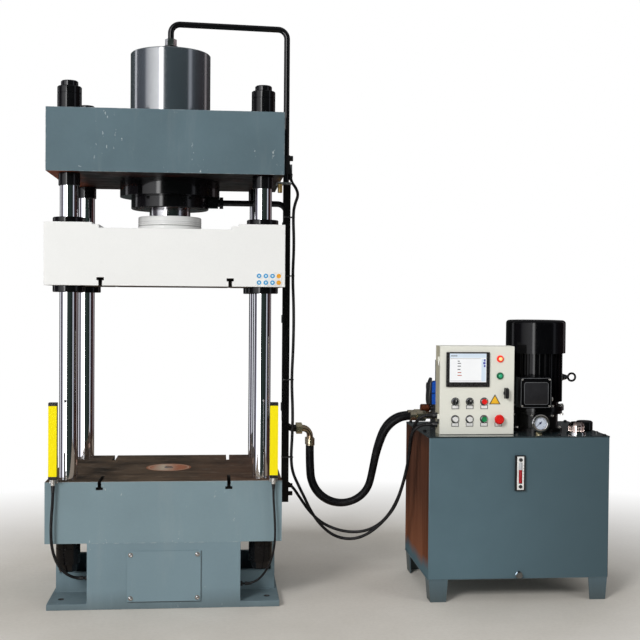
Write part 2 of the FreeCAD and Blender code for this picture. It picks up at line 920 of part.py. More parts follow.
def make_port_fittings():
    """Flange and nut on the cylinder head, and the rod-side port block with its neck and union nut."""
    flange = ring(port_flange_dia, pipe_bore, barrel_top_z, barrel_top_z + port_flange_height, 3.0)
    nut = placed(hexagon(port_nut_across, port_nut_height),
                 Vector(0.0, 0.0, barrel_top_z + port_flange_height))
    nut = nut.cut(rod(pipe_bore, Vector(0.0, 0.0, barrel_top_z), Vector(0.0, 0.0, head_nut_top_z)))
    bored = rod(pipe_bore, Vector(0.0, rod_riser_y, rod_pipe_z),
                Vector(rod_union_x + rod_union_length, rod_riser_y, rod_pipe_z))
    seat = rod(gland_dia + 2 * fixed_gap, Vector(0.0, 0.0, gland_bottom_z),
               Vector(0.0, 0.0, gland_top_z))
    port_block = block(
        gland_dia / 2 - rod_port_block / 2, rod_port_x,
        rod_riser_y - rod_port_block / 2, rod_riser_y + rod_port_block / 2,
        gland_top_z - rod_port_block, gland_top_z)
    port_block = port_block.cut(seat).cut(bored)
    neck = rod(rod_port_neck_dia, Vector(rod_port_x, rod_riser_y, rod_pipe_z),
               Vector(rod_union_x, rod_riser_y, rod_pipe_z)).cut(bored)
    union = placed(hexagon(port_nut_across, rod_union_length),
                   Vector(rod_union_x, rod_riser_y, rod_pipe_z), ALONG_X).cut(bored)
    return [joined([flange, nut]), joined([port_block, neck, union])]


save("port_fittings", make_port_fittings())

# ---------------------------------------------------------------- rail, clamps and sensor
rail_x0 = riser_x - rail_width / 2
rail_x1 = riser_x + rail_width / 2
rail_back_y = rail_front_y + rail_depth
rail_top_z = crown_bottom_z - rail_bracket_plate
rail_outer = block(rail_x0, rail_x1, rail_front_y, rail_back_y, rail_bottom_z, rail_top_z)
rail_inner = block(rail_x0 + rail_wall, rail_x1 - rail_wall, rail_front_y + rail_wall, rail_back_y,
                   rail_bottom_z, rail_top_z)
save("side_rail", rail_outer.cut(rail_inner))


def pipe_clamp(z):
    """Clamp behind the rail with a bore for each of the two pipes."""
    body = block(rail_x0, rail_x1, rail_back_y, head_riser_y + pipe_dia / 2 + clamp_margin,
                 z, z + clamp_height)
    for y in (rod_riser_y, head_riser_y):
        body = body.cut(rod(pipe_dia + 2 * fixed_gap, Vector(riser_x, y, z),
                            Vector(riser_x, y, z + clamp_height)))
    return body


def make_rail_clamps():
    """Pipe clamps, the block on the table's side, and the bracket under the crown."""
    clamps = [pipe_clamp(z) for z in clamp_z]
    low_z = table_block_bottom_z
    table_block = block(side_x, rail_x0, rail_front_y, rail_back_y, low_z, low_z + table_block_height)
    bracket = block(rail_x1 - rail_bracket_reach, rail_x1, sensor_y - sensor_dia, rail_back_y,
                    rail_top_z, crown_bottom_z)
    bracket = bracket.cut(rod(sensor_dia + 2 * fixed_gap, Vector(sensor_x, sensor_y, rail_top_z),
                              Vector(sensor_x, sensor_y, crown_bottom_z)))
    bolts = []
    for z in (low_z + table_block_height / 4, low_z + table_block_height * 3 / 4):
        bolts.append(placed(hexagon(rail_bolt_across, rail_bolt_length),
                            Vector(rail_x1, (rail_front_y + rail_back_y) / 2, z), ALONG_X))
    return clamps + [table_block, bracket] + bolts


save("rail_clamps", make_rail_clamps())


def make_limit_switches():
    """Plain round sensor in the rail's bracket, and the pressure switch saddled on the head riser."""
    top_z = crown_bottom_z - seat_gap
    sensor = placed(ring(sensor_dia, 0.0, top_z - sensor_length, top_z, 1.5),
                    Vector(sensor_x, sensor_y, 0.0))
    saddle_x = riser_x + pipe_dia / 2
    y0 = head_riser_y - switch_width / 2
    y1 = head_riser_y + switch_width / 2
    saddle = block(riser_x, saddle_x + switch_saddle, y0, y1, switch_bottom_z,
                   switch_knob_z + switch_knob_dia / 2)
    body = block(saddle_x + switch_saddle, saddle_x + switch_reach, y0, y1, switch_bottom_z,
                 switch_bottom_z + switch_body_height)
    knob = rod(switch_knob_dia, Vector(saddle_x, head_riser_y, switch_knob_z),
               Vector(saddle_x + switch_knob_reach, head_riser_y, switch_knob_z))
    seat = rod(pipe_dia + 2 * fixed_gap, Vector(riser_x, head_riser_y, switch_bottom_z),
               Vector(riser_x, head_riser_y, switch_knob_z + switch_knob_dia / 2))
    return [sensor, joined([saddle, body, knob]).cut(seat)]


save("limit_switches", make_limit_switches())


# ---------------------------------------------------------------- light curtain
def make_guard_post(x):
    """Aluminium profile with its window groove down the inner side."""
    half = guard_section / 2
    top_z = guard_bottom_z + guard_length
    post = block(x - half, x + half, guard_y - half, guard_y + half,
                 guard_bottom_z + guard_cap, top_z - guard_cap)
    inner = -1 if x > 0 else 1
    x0, x1 = sorted((x + inner * half, x + inner * (half - guard_bracket_plate)))
    groove = block(x0, x1, guard_y - half / 2, guard_y + half / 2,
                   guard_bottom_z + guard_cap, top_z - guard_cap)
    return post.cut(groove)


def make_guard_fittings(x):
    """End caps, bottom plug, table bracket and stand gland of one post."""
    half = guard_section / 2
    top_z = guard_bottom_z + guard_length
    caps = [
        block(x - half, x + half, guard_y - half, guard_y + half, z, z + guard_cap)
        for z in (guard_bottom_z, top_z - guard_cap)
    ]
    plug = placed(ring(guard_plug_dia, 0.0, -guard_plug_length, 0.0, 2.0),
                  Vector(x, guard_y, guard_bottom_z))
    foot_z = table_top_z - guard_bracket_plate
    upright = block(x - half, x + half, guard_back_y, front_y,
                    foot_z, table_top_z + guard_bracket_height)
    foot = block(x - half, x + half, front_y, front_y + guard_bracket_foot, foot_z, table_top_z)
    side = 1 if x > 0 else -1
    entry_z = right_entry_z if x > 0 else left_entry_z
    wall_x = side * stand_half
    gland = rod(guard_gland_dia, Vector(wall_x, guard_entry_y, entry_z),
                Vector(wall_x + side * guard_gland_length, guard_entry_y, entry_z))
    return caps + [plug, joined([upright, foot]), gland]


save("light_curtain_posts", [make_guard_post(side * guard_x) for side in (-1, 1)])
save("light_curtain_fittings", make_guard_fittings(-guard_x) + make_guard_fittings(guard_x))


# ---------------------------------------------------------------- oil tank
tank_x1 = tank_x + tank_width
tank_y1 = tank_y + tank_depth
tank_top_z = tank_bottom_z + tank_height


def make_tank():
    """Folded and welded sheet box, open at the top."""
    outer = block(tank_x, tank_x1, tank_y, tank_y1, tank_bottom_z, tank_top_z)
    upright = [edge for edge in outer.Edges if abs(edge.BoundBox.ZLength - tank_height) < 0.01]
    outer = outer.makeFillet(tank_wall, upright)
    inner = block(tank_x + tank_wall, tank_x1 - tank_wall, tank_y + tank_wall, tank_y1 - tank_wall,
                  tank_bottom_z + tank_wall, tank_top_z)
    return outer.cut(inner)


def make_lid():
    """Tank lid with the pump hole and the flanged filler neck."""
    lid = block(tank_x, tank_x1, tank_y, tank_y1, tank_top_z, lid_top_z)
    lid = lid.cut(rod(bell_bore, Vector(motor_x, motor_y, tank_top_z), Vector(motor_x, motor_y, lid_top_z)))
    neck_top_z = lid_top_z + filler_flange_height + filler_neck_height
    flange = rod(filler_flange_dia, Vector(filler_x, filler_y, lid_top_z),
                 Vector(filler_x, filler_y, lid_top_z + filler_flange_height))
    neck = rod(filler_neck_dia, Vector(filler_x, filler_y, lid_top_z),
               Vector(filler_x, filler_y, neck_top_z))
    bore = rod(filler_neck_dia - 2 * filler_cap_wall, Vector(filler_x, filler_y, tank_top_z),
               Vector(filler_x, filler_y, neck_top_z))
    return joined([lid, flange, neck]).cut(bore)


def make_foot(side_x_sign, side_y_sign):
    """Bent plate foot: two tapered wings that meet at the tank's corner."""
    corner_x = tank_x + foot_inset if side_x_sign < 0 else tank_x1 - foot_inset
    corner_y = tank_y if side_y_sign < 0 else tank_y1
    taper = (foot_top_width - foot_bottom_width) / 2
    inward_x = -side_x_sign
    inward_y = -side_y_sign
    wing_x = [
        Vector(corner_x, corner_y, tank_bottom_z),
        Vector(corner_x + inward_x * foot_top_width, corner_y, tank_bottom_z),
        Vector(corner_x + inward_x * (foot_top_width - taper), corner_y, 0.0),
        Vector(corner_x + inward_x * taper, corner_y, 0.0),
    ]
    wing_y = [
        Vector(corner_x, corner_y, tank_bottom_z),
        Vector(corner_x, corner_y + inward_y * foot_top_width, tank_bottom_z),
        Vector(corner_x + inward_x * taper, corner_y + inward_y * (foot_top_width - taper), 0.0),
        Vector(corner_x + inward_x * taper, corner_y, 0.0),
    ]
    front = Part.Face(Part.makePolygon(wing_x + wing_x[:1])).extrude(Vector(0, inward_y * foot_sheet, 0))
    flank = Part.Face(Part.makePolygon(wing_y + wing_y[:1])).extrude(Vector(inward_x * foot_sheet, 0, 0))
    return joined([front, flank])


def make_level_gauge():
    """Sight gauge: a bar with its window let in and two hollow screws."""
    y0 = tank_front_y - level_thickness
    bar = block(level_x - level_width / 2, level_x + level_width / 2, y0, tank_front_y,
                level_z - level_height / 2, level_z + level_height / 2)
    window = block(level_x - level_window_width / 2, level_x + level_window_width / 2, y0,
                   y0 + level_thickness / 3, level_z - level_window_height / 2,
                   level_z + level_window_height / 2)
    screws = []
    for end in (-1, 1):
        z = level_z + end * level_screw_pitch / 2
        screws.append(rod(level_window_width, Vector(level_x, y0, z),
                          Vector(level_x, y0 - level_thickness / 3, z)))
    return joined([bar.cut(window)] + screws)


def make_drain_plug():
    boss = rod(drain_boss_dia, Vector(level_x, tank_front_y, drain_z + drain_boss_dia / 4),
               Vector(level_x, tank_front_y - drain_boss_length, drain_z + drain_boss_dia / 4))
    plug = placed(hexagon(drain_hex_across, drain_hex_length),
                  Vector(level_x, tank_front_y - drain_boss_length, drain_z + drain_boss_dia / 4),
                  -ALONG_Y)
    return joined([boss, plug])


def make_filler_cap():
    """Breather cap that fits over the filler neck."""
    outer = filler_cap_dia / 2
    inner = filler_neck_dia / 2 + running_gap
    z0 = lid_top_z + filler_flange_height + seat_gap
    z1 = z0 + filler_cap_height
    inner_z = lid_top_z + filler_flange_height + filler_neck_height + running_gap
    cap = turned([
        (inner, z0), (outer, z0), (outer, z1 - 3 * filler_cap_wall),
        (outer - filler_cap_wall, z1 - filler_cap_wall), (outer - 3 * filler_cap_wall, z1),
        (0.0, z1), (0.0, inner_z), (inner, inner_z),
    ])
    return placed(cap, Vector(filler_x, filler_y, 0.0))


save("tank_body", make_tank())
filter_head = placed(ring(filter_dia, 0.0, lid_top_z, lid_top_z + filter_height, 5.0),
                     Vector(filter_x, filter_y, 0.0))
save("tank_lid", [make_lid(), filter_head])
save("tank_feet", [make_foot(sx, sy) for sx in (-1, 1) for sy in (-1, 1)])
save("level_gauge", make_level_gauge())
save("drain_plug", make_drain_plug())
save("filler_cap", make_filler_cap())


# ---------------------------------------------------------------- motor and pump
motor_place = Vector(motor_x, motor_y, 0.0)


def make_bell_housing():
    outer = bell_dia / 2
    flange = bell_flange_dia / 2
    bore = bell_bore / 2
    return placed(turned([
        (bore, lid_top_z), (flange, lid_top_z), (flange, lid_top_z + bell_flange),
        (outer, lid_top_z + bell_flange), (outer, motor_base_z - bell_flange),
        (flange, motor_base_z - bell_flange), (flange, motor_base_z), (bore, motor_base_z),
    ]), motor_place)


def make_motor_body():
    """Cast housing with its flange, end walls, stator bore and cooling fins."""
    shaft = shaft_dia / 2 + running_gap
    stator = stator_bore / 2
    body = motor_body_dia / 2
    housing = turned([
        (shaft, motor_base_z), (motor_flange_dia / 2, motor_base_z), (motor_flange_dia / 2, motor_body_z),
        (body, motor_body_z), (body, cowl_bottom_z), (shaft, cowl_bottom_z),
        (shaft, cowl_bottom_z - motor_end_wall), (stator, cowl_bottom_z - motor_end_wall),
        (stator, motor_body_z + motor_end_wall), (shaft, motor_body_z + motor_end_wall),
    ])
    fin = block(body - fin_thickness, body + fin_reach, -fin_thickness / 2, fin_thickness / 2,
                motor_body_z + motor_end_wall, cowl_bottom_z - seat_gap)
    return placed(joined([housing] + around(fin, fin_count, Vector(), 180.0 / fin_count)), motor_place)


def make_motor_cowl():
    """Fan cover with a rounded top and a ring of air slots."""
    outer = cowl_dia / 2
    shell = turned([(0.0, cowl_bottom_z), (outer, cowl_bottom_z), (outer, cowl_top_z), (0.0, cowl_top_z)])
    rim = [edge for edge in shell.Edges
           if abs(edge.BoundBox.ZMin - cowl_top_z) < 0.01 and edge.BoundBox.XLength > outer]
    shell = shell.makeFillet(cowl_round, rim)
    hollow = turned([
        (0.0, cowl_bottom_z), (outer - cowl_wall, cowl_bottom_z),
        (outer - cowl_wall, cowl_top_z - cowl_round), (outer - cowl_round, cowl_top_z - cowl_wall),
        (0.0, cowl_top_z - cowl_wall),
    ])
    slot = block(cowl_grille_dia / 6, cowl_grille_dia / 2, -cowl_slot_width / 2, cowl_slot_width / 2,
                 cowl_top_z - cowl_wall, cowl_top_z)
    slots = Part.makeCompound(around(slot, cowl_slot_count, Vector()))
    floor = ring(2 * (outer - cowl_wall), motor_body_dia + 2 * fixed_gap, cowl_bottom_z,
                 cowl_bottom_z + cowl_wall)
    return placed(joined([shell.cut(hollow).cut(slots), floor]), motor_place)


def make_motor_rotor():
    """Shaft with its rotor core, and the fan at its upper end."""
    shaft = shaft_dia / 2
    core = rotor_core_dia / 2
    middle_z = (motor_body_z + cowl_bottom_z) / 2
    fan_z = cowl_bottom_z + shaft_tail
    shaft_bottom_z = motor_base_z - shaft_tail
    spindle = turned([
        (0.0, shaft_bottom_z), (shaft, shaft_bottom_z), (shaft, middle_z - rotor_core_height / 2),
        (core, middle_z - rotor_core_height / 2), (core, middle_z + rotor_core_height / 2),
        (shaft, middle_z + rotor_core_height / 2), (shaft, fan_z + fan_height), (0.0, fan_z + fan_height),
    ])
    plate = rod(fan_dia, Vector(0.0, 0.0, fan_z), Vector(0.0, 0.0, fan_z + fan_blade_thickness))
    blade = block(shaft - fan_blade_thickness, fan_dia / 2, -fan_blade_thickness / 2,
                  fan_blade_thickness / 2, fan_z, fan_z + fan_height)
    return placed(joined([spindle, plate] + around(blade, fan_blades, Vector())), motor_place)


def make_terminal_box():
    """Box on the motor's flank with its lid, and the pedestal that joins it to the housing."""
    back_y = motor_y - motor_body_dia / 2 - fin_reach - seat_gap
    front = back_y - terminal_depth
    x0 = terminal_x - terminal_width / 2
    x1 = terminal_x + terminal_width / 2
    top_z = terminal_bottom_z + terminal_height
    body = block(x0, x1, front + terminal_lid, back_y, terminal_bottom_z, top_z)
    lid = block(x0 - 2.0, x1 + 2.0, front, front + terminal_lid, terminal_bottom_z - 2.0, top_z + 2.0)
    lid = lid.makeFillet(terminal_round, [
        edge for edge in lid.Edges if abs(edge.BoundBox.YLength - terminal_lid) < 0.01])
    panel = block(x0 + terminal_round, x1 - terminal_round, front - 2.0, front,
                  terminal_bottom_z + terminal_round, top_z - terminal_round)
    return joined([body, lid, panel])


def make_eye_bolt():
    """Lifting eye screwed into the motor's flank."""
    start_x = motor_x + motor_body_dia / 2 + seat_gap
    ring_x = start_x + eye_shank - eye_wire_dia / 2 + eye_ring_dia / 2
    shank = rod(eye_wire_dia, Vector(start_x, motor_y, eye_z),
                Vector(start_x + eye_shank - eye_wire_dia / 2, motor_y, eye_z))
    foot = rod(eye_foot_dia, Vector(start_x, motor_y, eye_z),
               Vector(start_x + fin_reach + eye_wire_dia / 2, motor_y, eye_z))
    loop = Part.makeTorus(eye_ring_dia / 2, eye_wire_dia / 2, Vector(ring_x, motor_y, eye_z), ALONG_Y)
    return joined([shank, foot, loop])


def make_pump():
    """Gear pump under the lid with its spigot, suction pipe and strainer."""
    strainer_z = tank_bottom_z + tank_wall + strainer_floor_gap
    body_z = tank_top_z - pump_height
    body = block(motor_x - pump_width / 2, motor_x + pump_width / 2, motor_y - pump_depth / 2,
                 motor_y + pump_depth / 2, body_z, tank_top_z)
    spigot = rod(bell_bore - 2 * fixed_gap, Vector(motor_x, motor_y, tank_top_z),
                 Vector(motor_x, motor_y, lid_top_z))
    suction = rod(suction_dia, Vector(motor_x, motor_y, strainer_z), Vector(motor_x, motor_y, body_z))
    strainer = rod(strainer_dia, Vector(motor_x, motor_y, strainer_z),
                   Vector(motor_x, motor_y, strainer_z + strainer_height))
    return joined([body, spigot, suction, strainer])


save("bell_housing", make_bell_housing())
save("motor_body", make_motor_body())
save("motor_cowl", make_motor_cowl())
save("motor_rotor", make_motor_rotor())
save("terminal_box", make_terminal_box())
save("eye_bolt", make_eye_bolt())
save("pump", make_pump())

# ---------------------------------------------------------------- valves
manifold_top_z = lid_top_z + manifold_height
valve_mid_y = manifold_y + manifold_depth / 2
manifold = block(manifold_x, manifold_x + manifold_width, manifold_y, manifold_y + manifold_depth,
                 lid_top_z, manifold_top_z)
relief_boss_x = manifold_x - relief_stem
relief_boss = rod(relief_stem_dia, Vector(relief_boss_x, relief_y, relief_z),
                  Vector(manifold_x, relief_y, relief_z))


def make_solenoid_valves():
    """Two valve bodies stacked on the manifold, each with its coil, and a cap valve above."""
    pieces = []
    for level in (0, 1):
        z0 = manifold_top_z + level * (valve_height + valve_gap)
        body = block(valve_body_x, valve_body_x + valve_body_length, valve_mid_y - valve_body_depth / 2,
                     valve_mid_y + valve_body_depth / 2, z0, z0 + valve_height)
        coil = rod(coil_dia, Vector(valve_body_x - coil_length, valve_mid_y, z0 + valve_height / 2),
                   Vector(valve_body_x, valve_mid_y, z0 + valve_height / 2))
        seat = block(manifold_x, valve_body_x + valve_body_length, valve_mid_y - valve_body_depth / 4,
                     valve_mid_y + valve_body_depth / 4, z0 + valve_height,
                     z0 + valve_height + valve_gap)
        pieces += [body, coil, seat]
    top_z = manifold_top_z + 2 * (valve_height + valve_gap)
    cap_x = valve_body_x + cap_coil_inset
    pieces.append(rod(coil_dia + 2 * valve_gap, Vector(cap_x, valve_mid_y, top_z),
                      Vector(cap_x, valve_mid_y, top_z + cap_coil_height)))
    return pieces


def make_relief_knob():
    """Hand knob that turns on the relief valve's stem."""
    x0 = relief_boss_x - relief_length
    inner = relief_stem_dia / 2 + running_gap
    outer = relief_dia / 2
    knob = turned([
        (0.0, 0.0), (outer - 3.0, 0.0), (outer, 3.0), (outer, relief_length - 8.0),
        (outer - 8.0, relief_length), (0.0, relief_length),
    ])
    flute = rod(7.0, Vector(outer + 1.5, 0.0, 0.0), Vector(outer + 1.5, 0.0, relief_length - 10.0))
    knob = knob.cut(Part.makeCompound(around(flute, 8, Vector())))
    return placed(knob, Vector(x0 - seat_gap, relief_y, relief_z), ALONG_X)


save("valve_manifold", joined([manifold, relief_boss]))
save("solenoid_valves", make_solenoid_valves())
save("relief_knob", make_relief_knob())


# ---------------------------------------------------------------- pressure gauge
def make_gauge():
    """Gauge case on its stem, with the dial let in and a spindle for the needle."""
    outer = gauge_dia / 2
    dial = outer - gauge_rim
    case = turned([
        (0.0, 0.0), (outer - 4.0, 0.0), (outer - 4.0, gauge_depth / 2), (outer, gauge_depth / 2),
        (outer, gauge_depth), (dial, gauge_depth), (dial, gauge_depth - gauge_recess),
        (0.0, gauge_depth - gauge_recess),
    ])
    case = placed(case, Vector(gauge_x, gauge_y + gauge_depth / 2, gauge_z), -ALONG_Y)
    stem = rod(gauge_stem_dia, Vector(gauge_x, gauge_y + gauge_depth / 4, lid_top_z),
               Vector(gauge_x, gauge_y + gauge_depth / 4, gauge_z))
    nut = placed(hexagon(gauge_stem_dia * 1.6, 10.0),
                 Vector(gauge_x, gauge_y + gauge_depth / 4, lid_top_z))
    return joined([case, stem, nut])


def make_needle():
    """Pointer at zero, on its hub just clear of the dial."""
    face_y = gauge_y - gauge_depth / 2 + gauge_recess
    hub = rod(needle_hub, Vector(gauge_x, face_y - seat_gap, gauge_z),
              Vector(gauge_x, face_y - seat_gap - 2 * needle_thickness, gauge_z))
    y1 = face_y - seat_gap
    y0 = y1 - needle_thickness
    corners = [
        Vector(gauge_x - needle_width / 2, y0, gauge_z - needle_tail),
        Vector(gauge_x + needle_width / 2, y0, gauge_z - needle_tail),
        Vector(gauge_x + needle_width / 6, y0, gauge_z + needle_length),
        Vector(gauge_x - needle_width / 6, y0, gauge_z + needle_length),
    ]
    arm = Part.Face(Part.makePolygon(corners + corners[:1])).extrude(Vector(0, needle_thickness, 0))
    needle = joined([hub, arm])
    needle.rotate(Vector(gauge_x, y0, gauge_z), ALONG_Y, 225.0)
    return needle


save("pressure_gauge", make_gauge())
save("gauge_needle", make_needle())

# ---------------------------------------------------------------- control cabinet
cabinet_x1 = cabinet_x + cabinet_width
cabinet_top_z = cabinet_bottom_z + cabinet_height
hinge_x = cabinet_x - hinge_dia / 2
hinge_y = cabinet_face_y
hinge_levels = (cabinet_bottom_z + hinge_inset, cabinet_top_z - hinge_inset - hinge_length)
first_button = button_x
second_button = button_x + button_pitch
third_button = button_x + 2 * button_pitch
fourth_button = button_x + 3 * button_pitch
operator_places = [
    (first_button, upper_row_z), (second_button, upper_row_z), (third_button, upper_row_z),
    (first_button, lower_row_z), (second_button, lower_row_z), (third_button, lower_row_z),
    (fourth_button, lower_row_z),
]
lamp_places = [(lamp_x, lamp_red_z), (lamp_x, lamp_green_z)]


def hinge_knuckle(z0, z1):
    """Leaf barrel of a cabinet hinge, bored for its pin."""
    barrel = rod(hinge_dia, Vector(hinge_x, hinge_y, z0), Vector(hinge_x, hinge_y, z1))
    return barrel.cut(rod(hinge_pin_dia + 2 * fixed_gap, Vector(hinge_x, hinge_y, z0),
                          Vector(hinge_x, hinge_y, z1)))


def make_cabinet():
    """Folded steel case with a lip round its mouth, the hinge halves with pins, and cable glands."""
    outer = block(cabinet_x, cabinet_x1, cabinet_face_y, cabinet_back_y, cabinet_bottom_z, cabinet_top_z)
    inner = block(cabinet_x + cabinet_sheet, cabinet_x1 - cabinet_sheet, cabinet_face_y + cabinet_sheet,
                  cabinet_back_y - cabinet_sheet, cabinet_bottom_z + cabinet_sheet,
                  cabinet_top_z - cabinet_sheet)
    mouth = block(cabinet_x + cabinet_lip, cabinet_x1 - cabinet_lip, cabinet_face_y,
                  cabinet_face_y + cabinet_sheet, cabinet_bottom_z + cabinet_lip,
                  cabinet_top_z - cabinet_lip)
    pieces = [outer.cut(inner).cut(mouth)]
    half = hinge_length / 2
    for z in hinge_levels:
        pieces.append(rod(hinge_dia, Vector(hinge_x, hinge_y, z), Vector(hinge_x, hinge_y, z + half))
                      .common(block(hinge_x - hinge_dia, cabinet_x, hinge_y - hinge_dia,
                                    hinge_y + hinge_dia, z, z + half)))
        pieces.append(block(hinge_x, cabinet_x, hinge_y, hinge_y + hinge_dia / 2, z, z + half))
        pieces.append(rod(hinge_pin_dia, Vector(hinge_x, hinge_y, z),
                          Vector(hinge_x, hinge_y, z + hinge_length)))
    for rise in (lower_gland_rise, upper_gland_rise):
        z = cabinet_bottom_z + rise
        pieces.append(rod(cable_gland_dia, Vector(cable_end_x, cable_gland_y, z),
                          Vector(cabinet_x, cable_gland_y, z)))
    return joined(pieces)


def make_door():
    """Pan-shaped door with its hinge halves and the holes for what it carries."""
    y0 = cabinet_y
    y1 = cabinet_face_y - door_gap
    outer = block(cabinet_x, cabinet_x1, y0, y1, cabinet_bottom_z + door_gap, cabinet_top_z)
    front_edges = [edge for edge in outer.Edges if edge.BoundBox.YMax < y0 + 0.01]
    outer = outer.makeFillet(door_sheet, front_edges)
    inner = block(cabinet_x + door_sheet, cabinet_x1 - door_sheet, y0 + door_sheet, y1,
                  cabinet_bottom_z + door_gap + door_sheet, cabinet_top_z - door_sheet)
    pieces = [outer.cut(inner)]
    half = hinge_length / 2
    for z in hinge_levels:
        knuckle_z = z + half + fixed_gap
        leaf = block(hinge_x, cabinet_x, hinge_y - hinge_dia / 2, hinge_y - door_gap,
                     knuckle_z, z + hinge_length)
        bored = rod(hinge_pin_dia + 2 * fixed_gap, Vector(hinge_x, hinge_y, knuckle_z),
                    Vector(hinge_x, hinge_y, z + hinge_length))
        pieces.append(hinge_knuckle(knuckle_z, z + hinge_length))
        pieces.append(leaf.cut(bored))
    holes = []
    for x, z in operator_places + lamp_places:
        holes.append(rod(bezel_neck_dia + 2 * fixed_gap, Vector(x, y0, z), Vector(x, y1, z)))
    holes.append(rod(latch_stem_dia + 2 * running_gap, Vector(latch_x, y0, latch_z),
                     Vector(latch_x, y1, latch_z)))
    half_width = panel_width / 2 - panel_body_margin
    half_height = panel_height / 2 - panel_body_margin
    holes.append(block(panel_x - half_width, panel_x + half_width, y0, y1,
                       panel_z - half_height, panel_z + half_height))
    return joined(pieces).cut(Part.makeCompound(holes))


def make_touch_panel():
    """Panel with its front bezel, sunk screen and the body behind the door."""
    half_width = panel_width / 2
    half_height = panel_height / 2
    front = cabinet_y - panel_bezel
    bezel = block(panel_x - half_width, panel_x + half_width, front, cabinet_y,
                  panel_z - half_height, panel_z + half_height)
    rounded = [edge for edge in bezel.Edges if abs(edge.BoundBox.YLength - panel_bezel) < 0.01]
    bezel = bezel.makeFillet(panel_bezel / 2, rounded)
    screen_z = panel_z + panel_screen_rise
    screen = block(panel_x - panel_screen_width / 2, panel_x + panel_screen_width / 2,
                   front, front + panel_screen_recess,
                   screen_z - panel_screen_height / 2, screen_z + panel_screen_height / 2)
    inset = panel_body_margin + fixed_gap
    body = block(panel_x - half_width + inset, panel_x + half_width - inset, cabinet_y,
                 cabinet_y + panel_body_depth, panel_z - half_height + inset,
                 panel_z + half_height - inset)
    return joined([bezel.cut(screen), body])


def facing_front(shape, x, z, y=cabinet_y):
    """Piece drawn about Z and pointing up, turned to stand out of the door's face."""
    return placed(shape, Vector(x, y, z), -ALONG_Y)


def make_bezel():
    """Operator collar: a ring on the door's face and its threaded neck behind."""
    return turned([
        (bezel_neck_bore / 2, -bezel_neck), (bezel_neck_dia / 2, -bezel_neck), (bezel_neck_dia / 2, 0.0),
        (bezel_dia / 2, 0.0), (bezel_dia / 2, bezel_height - 2.0), (bezel_dia / 2 - 2.0, bezel_height),
        (bezel_bore / 2, bezel_height), (bezel_bore / 2, 1.5), (bezel_neck_bore / 2, 1.5),
    ])


def make_lamp():
    """Indicator lamp with a domed lens over its collar."""
    outer = bezel_dia / 2
    lens = bezel_bore / 2
    return turned([
        (0.0, -bezel_neck), (bezel_neck_dia / 2, -bezel_neck), (bezel_neck_dia / 2, 0.0), (outer, 0.0),
        (outer, bezel_height - 2.0), (outer - 2.0, bezel_height), (lens, bezel_height),
        (lens * 0.8, lens_height), (lens * 0.4, lens_height + 2.0), (0.0, lens_height + 2.5),
    ])


def make_contact_block(x, z):
    """Switch block that closes the back of an operator collar."""
    y0 = cabinet_y + bezel_neck
    return block(x - contact_width / 2, x + contact_width / 2, y0, y0 + contact_depth,
                 z - contact_height / 2, z + contact_height / 2)


def make_door_fittings():
    """Collars with their switch blocks, lamps, name plates and the bare triangle."""
    pieces = []
    for x, z in operator_places:
        pieces.append(joined([facing_front(make_bezel(), x, z), make_contact_block(x, z)]))
        pieces.append(block(x - label_width / 2, x + label_width / 2, cabinet_y - label_thickness,
                            cabinet_y, z - label_drop - label_height / 2,
                            z - label_drop + label_height / 2))
    for x, z in lamp_places:
        pieces.append(facing_front(make_lamp(), x, z))
    rise = sign_side * math.sqrt(3) / 2
    corners = [
        Vector(sign_x - sign_side / 2, cabinet_y, sign_z - rise / 3),
        Vector(sign_x + sign_side / 2, cabinet_y, sign_z - rise / 3),
        Vector(sign_x, cabinet_y, sign_z + rise * 2 / 3),
    ]
    pieces.append(Part.Face(Part.makePolygon(corners + corners[:1]))
                  .extrude(Vector(0, -label_thickness, 0)))
    return pieces


stem_end = bezel_neck - button_travel - 2.0


def make_button():
    """Push button cap with its stem."""
    outer = cap_dia / 2
    stem = cap_stem_dia / 2
    top = bezel_height + cap_proud
    return turned([
        (0.0, -stem_end), (stem, -stem_end), (stem, bezel_height), (outer, bezel_height),
        (outer, top - 1.0), (outer - 1.0, top), (0.0, top),
    ])


def make_emergency_stop():
    """Mushroom head with its stem."""
    stem = cap_stem_dia / 2
    head = mushroom_dia / 2
    seat = bezel_height + mushroom_lift
    top = seat + mushroom_height
    return turned([
        (0.0, -stem_end), (stem, -stem_end), (stem, bezel_height), (cap_dia / 2, bezel_height),
        (cap_dia / 2, seat), (head - 2.0, seat), (head, seat + 3.0), (head - 2.0, top - 6.0),
        (head * 0.7, top - 1.5), (0.0, top),
    ])


def make_selector():
    """Rotary knob with its grip bar upright."""
    outer = cap_dia / 2
    stem = cap_stem_dia / 2
    seat = 1.5 + running_gap
    top = bezel_height + 1.0
    knob = turned([
        (0.0, -stem_end), (stem, -stem_end), (stem, seat), (outer, seat), (outer, top), (0.0, top),
    ])
    grip = block(-knob_bar_width / 2, knob_bar_width / 2, -knob_bar_length / 2, knob_bar_length / 2,
                 top - 1.0, top + knob_bar_height)
    return joined([knob, grip])


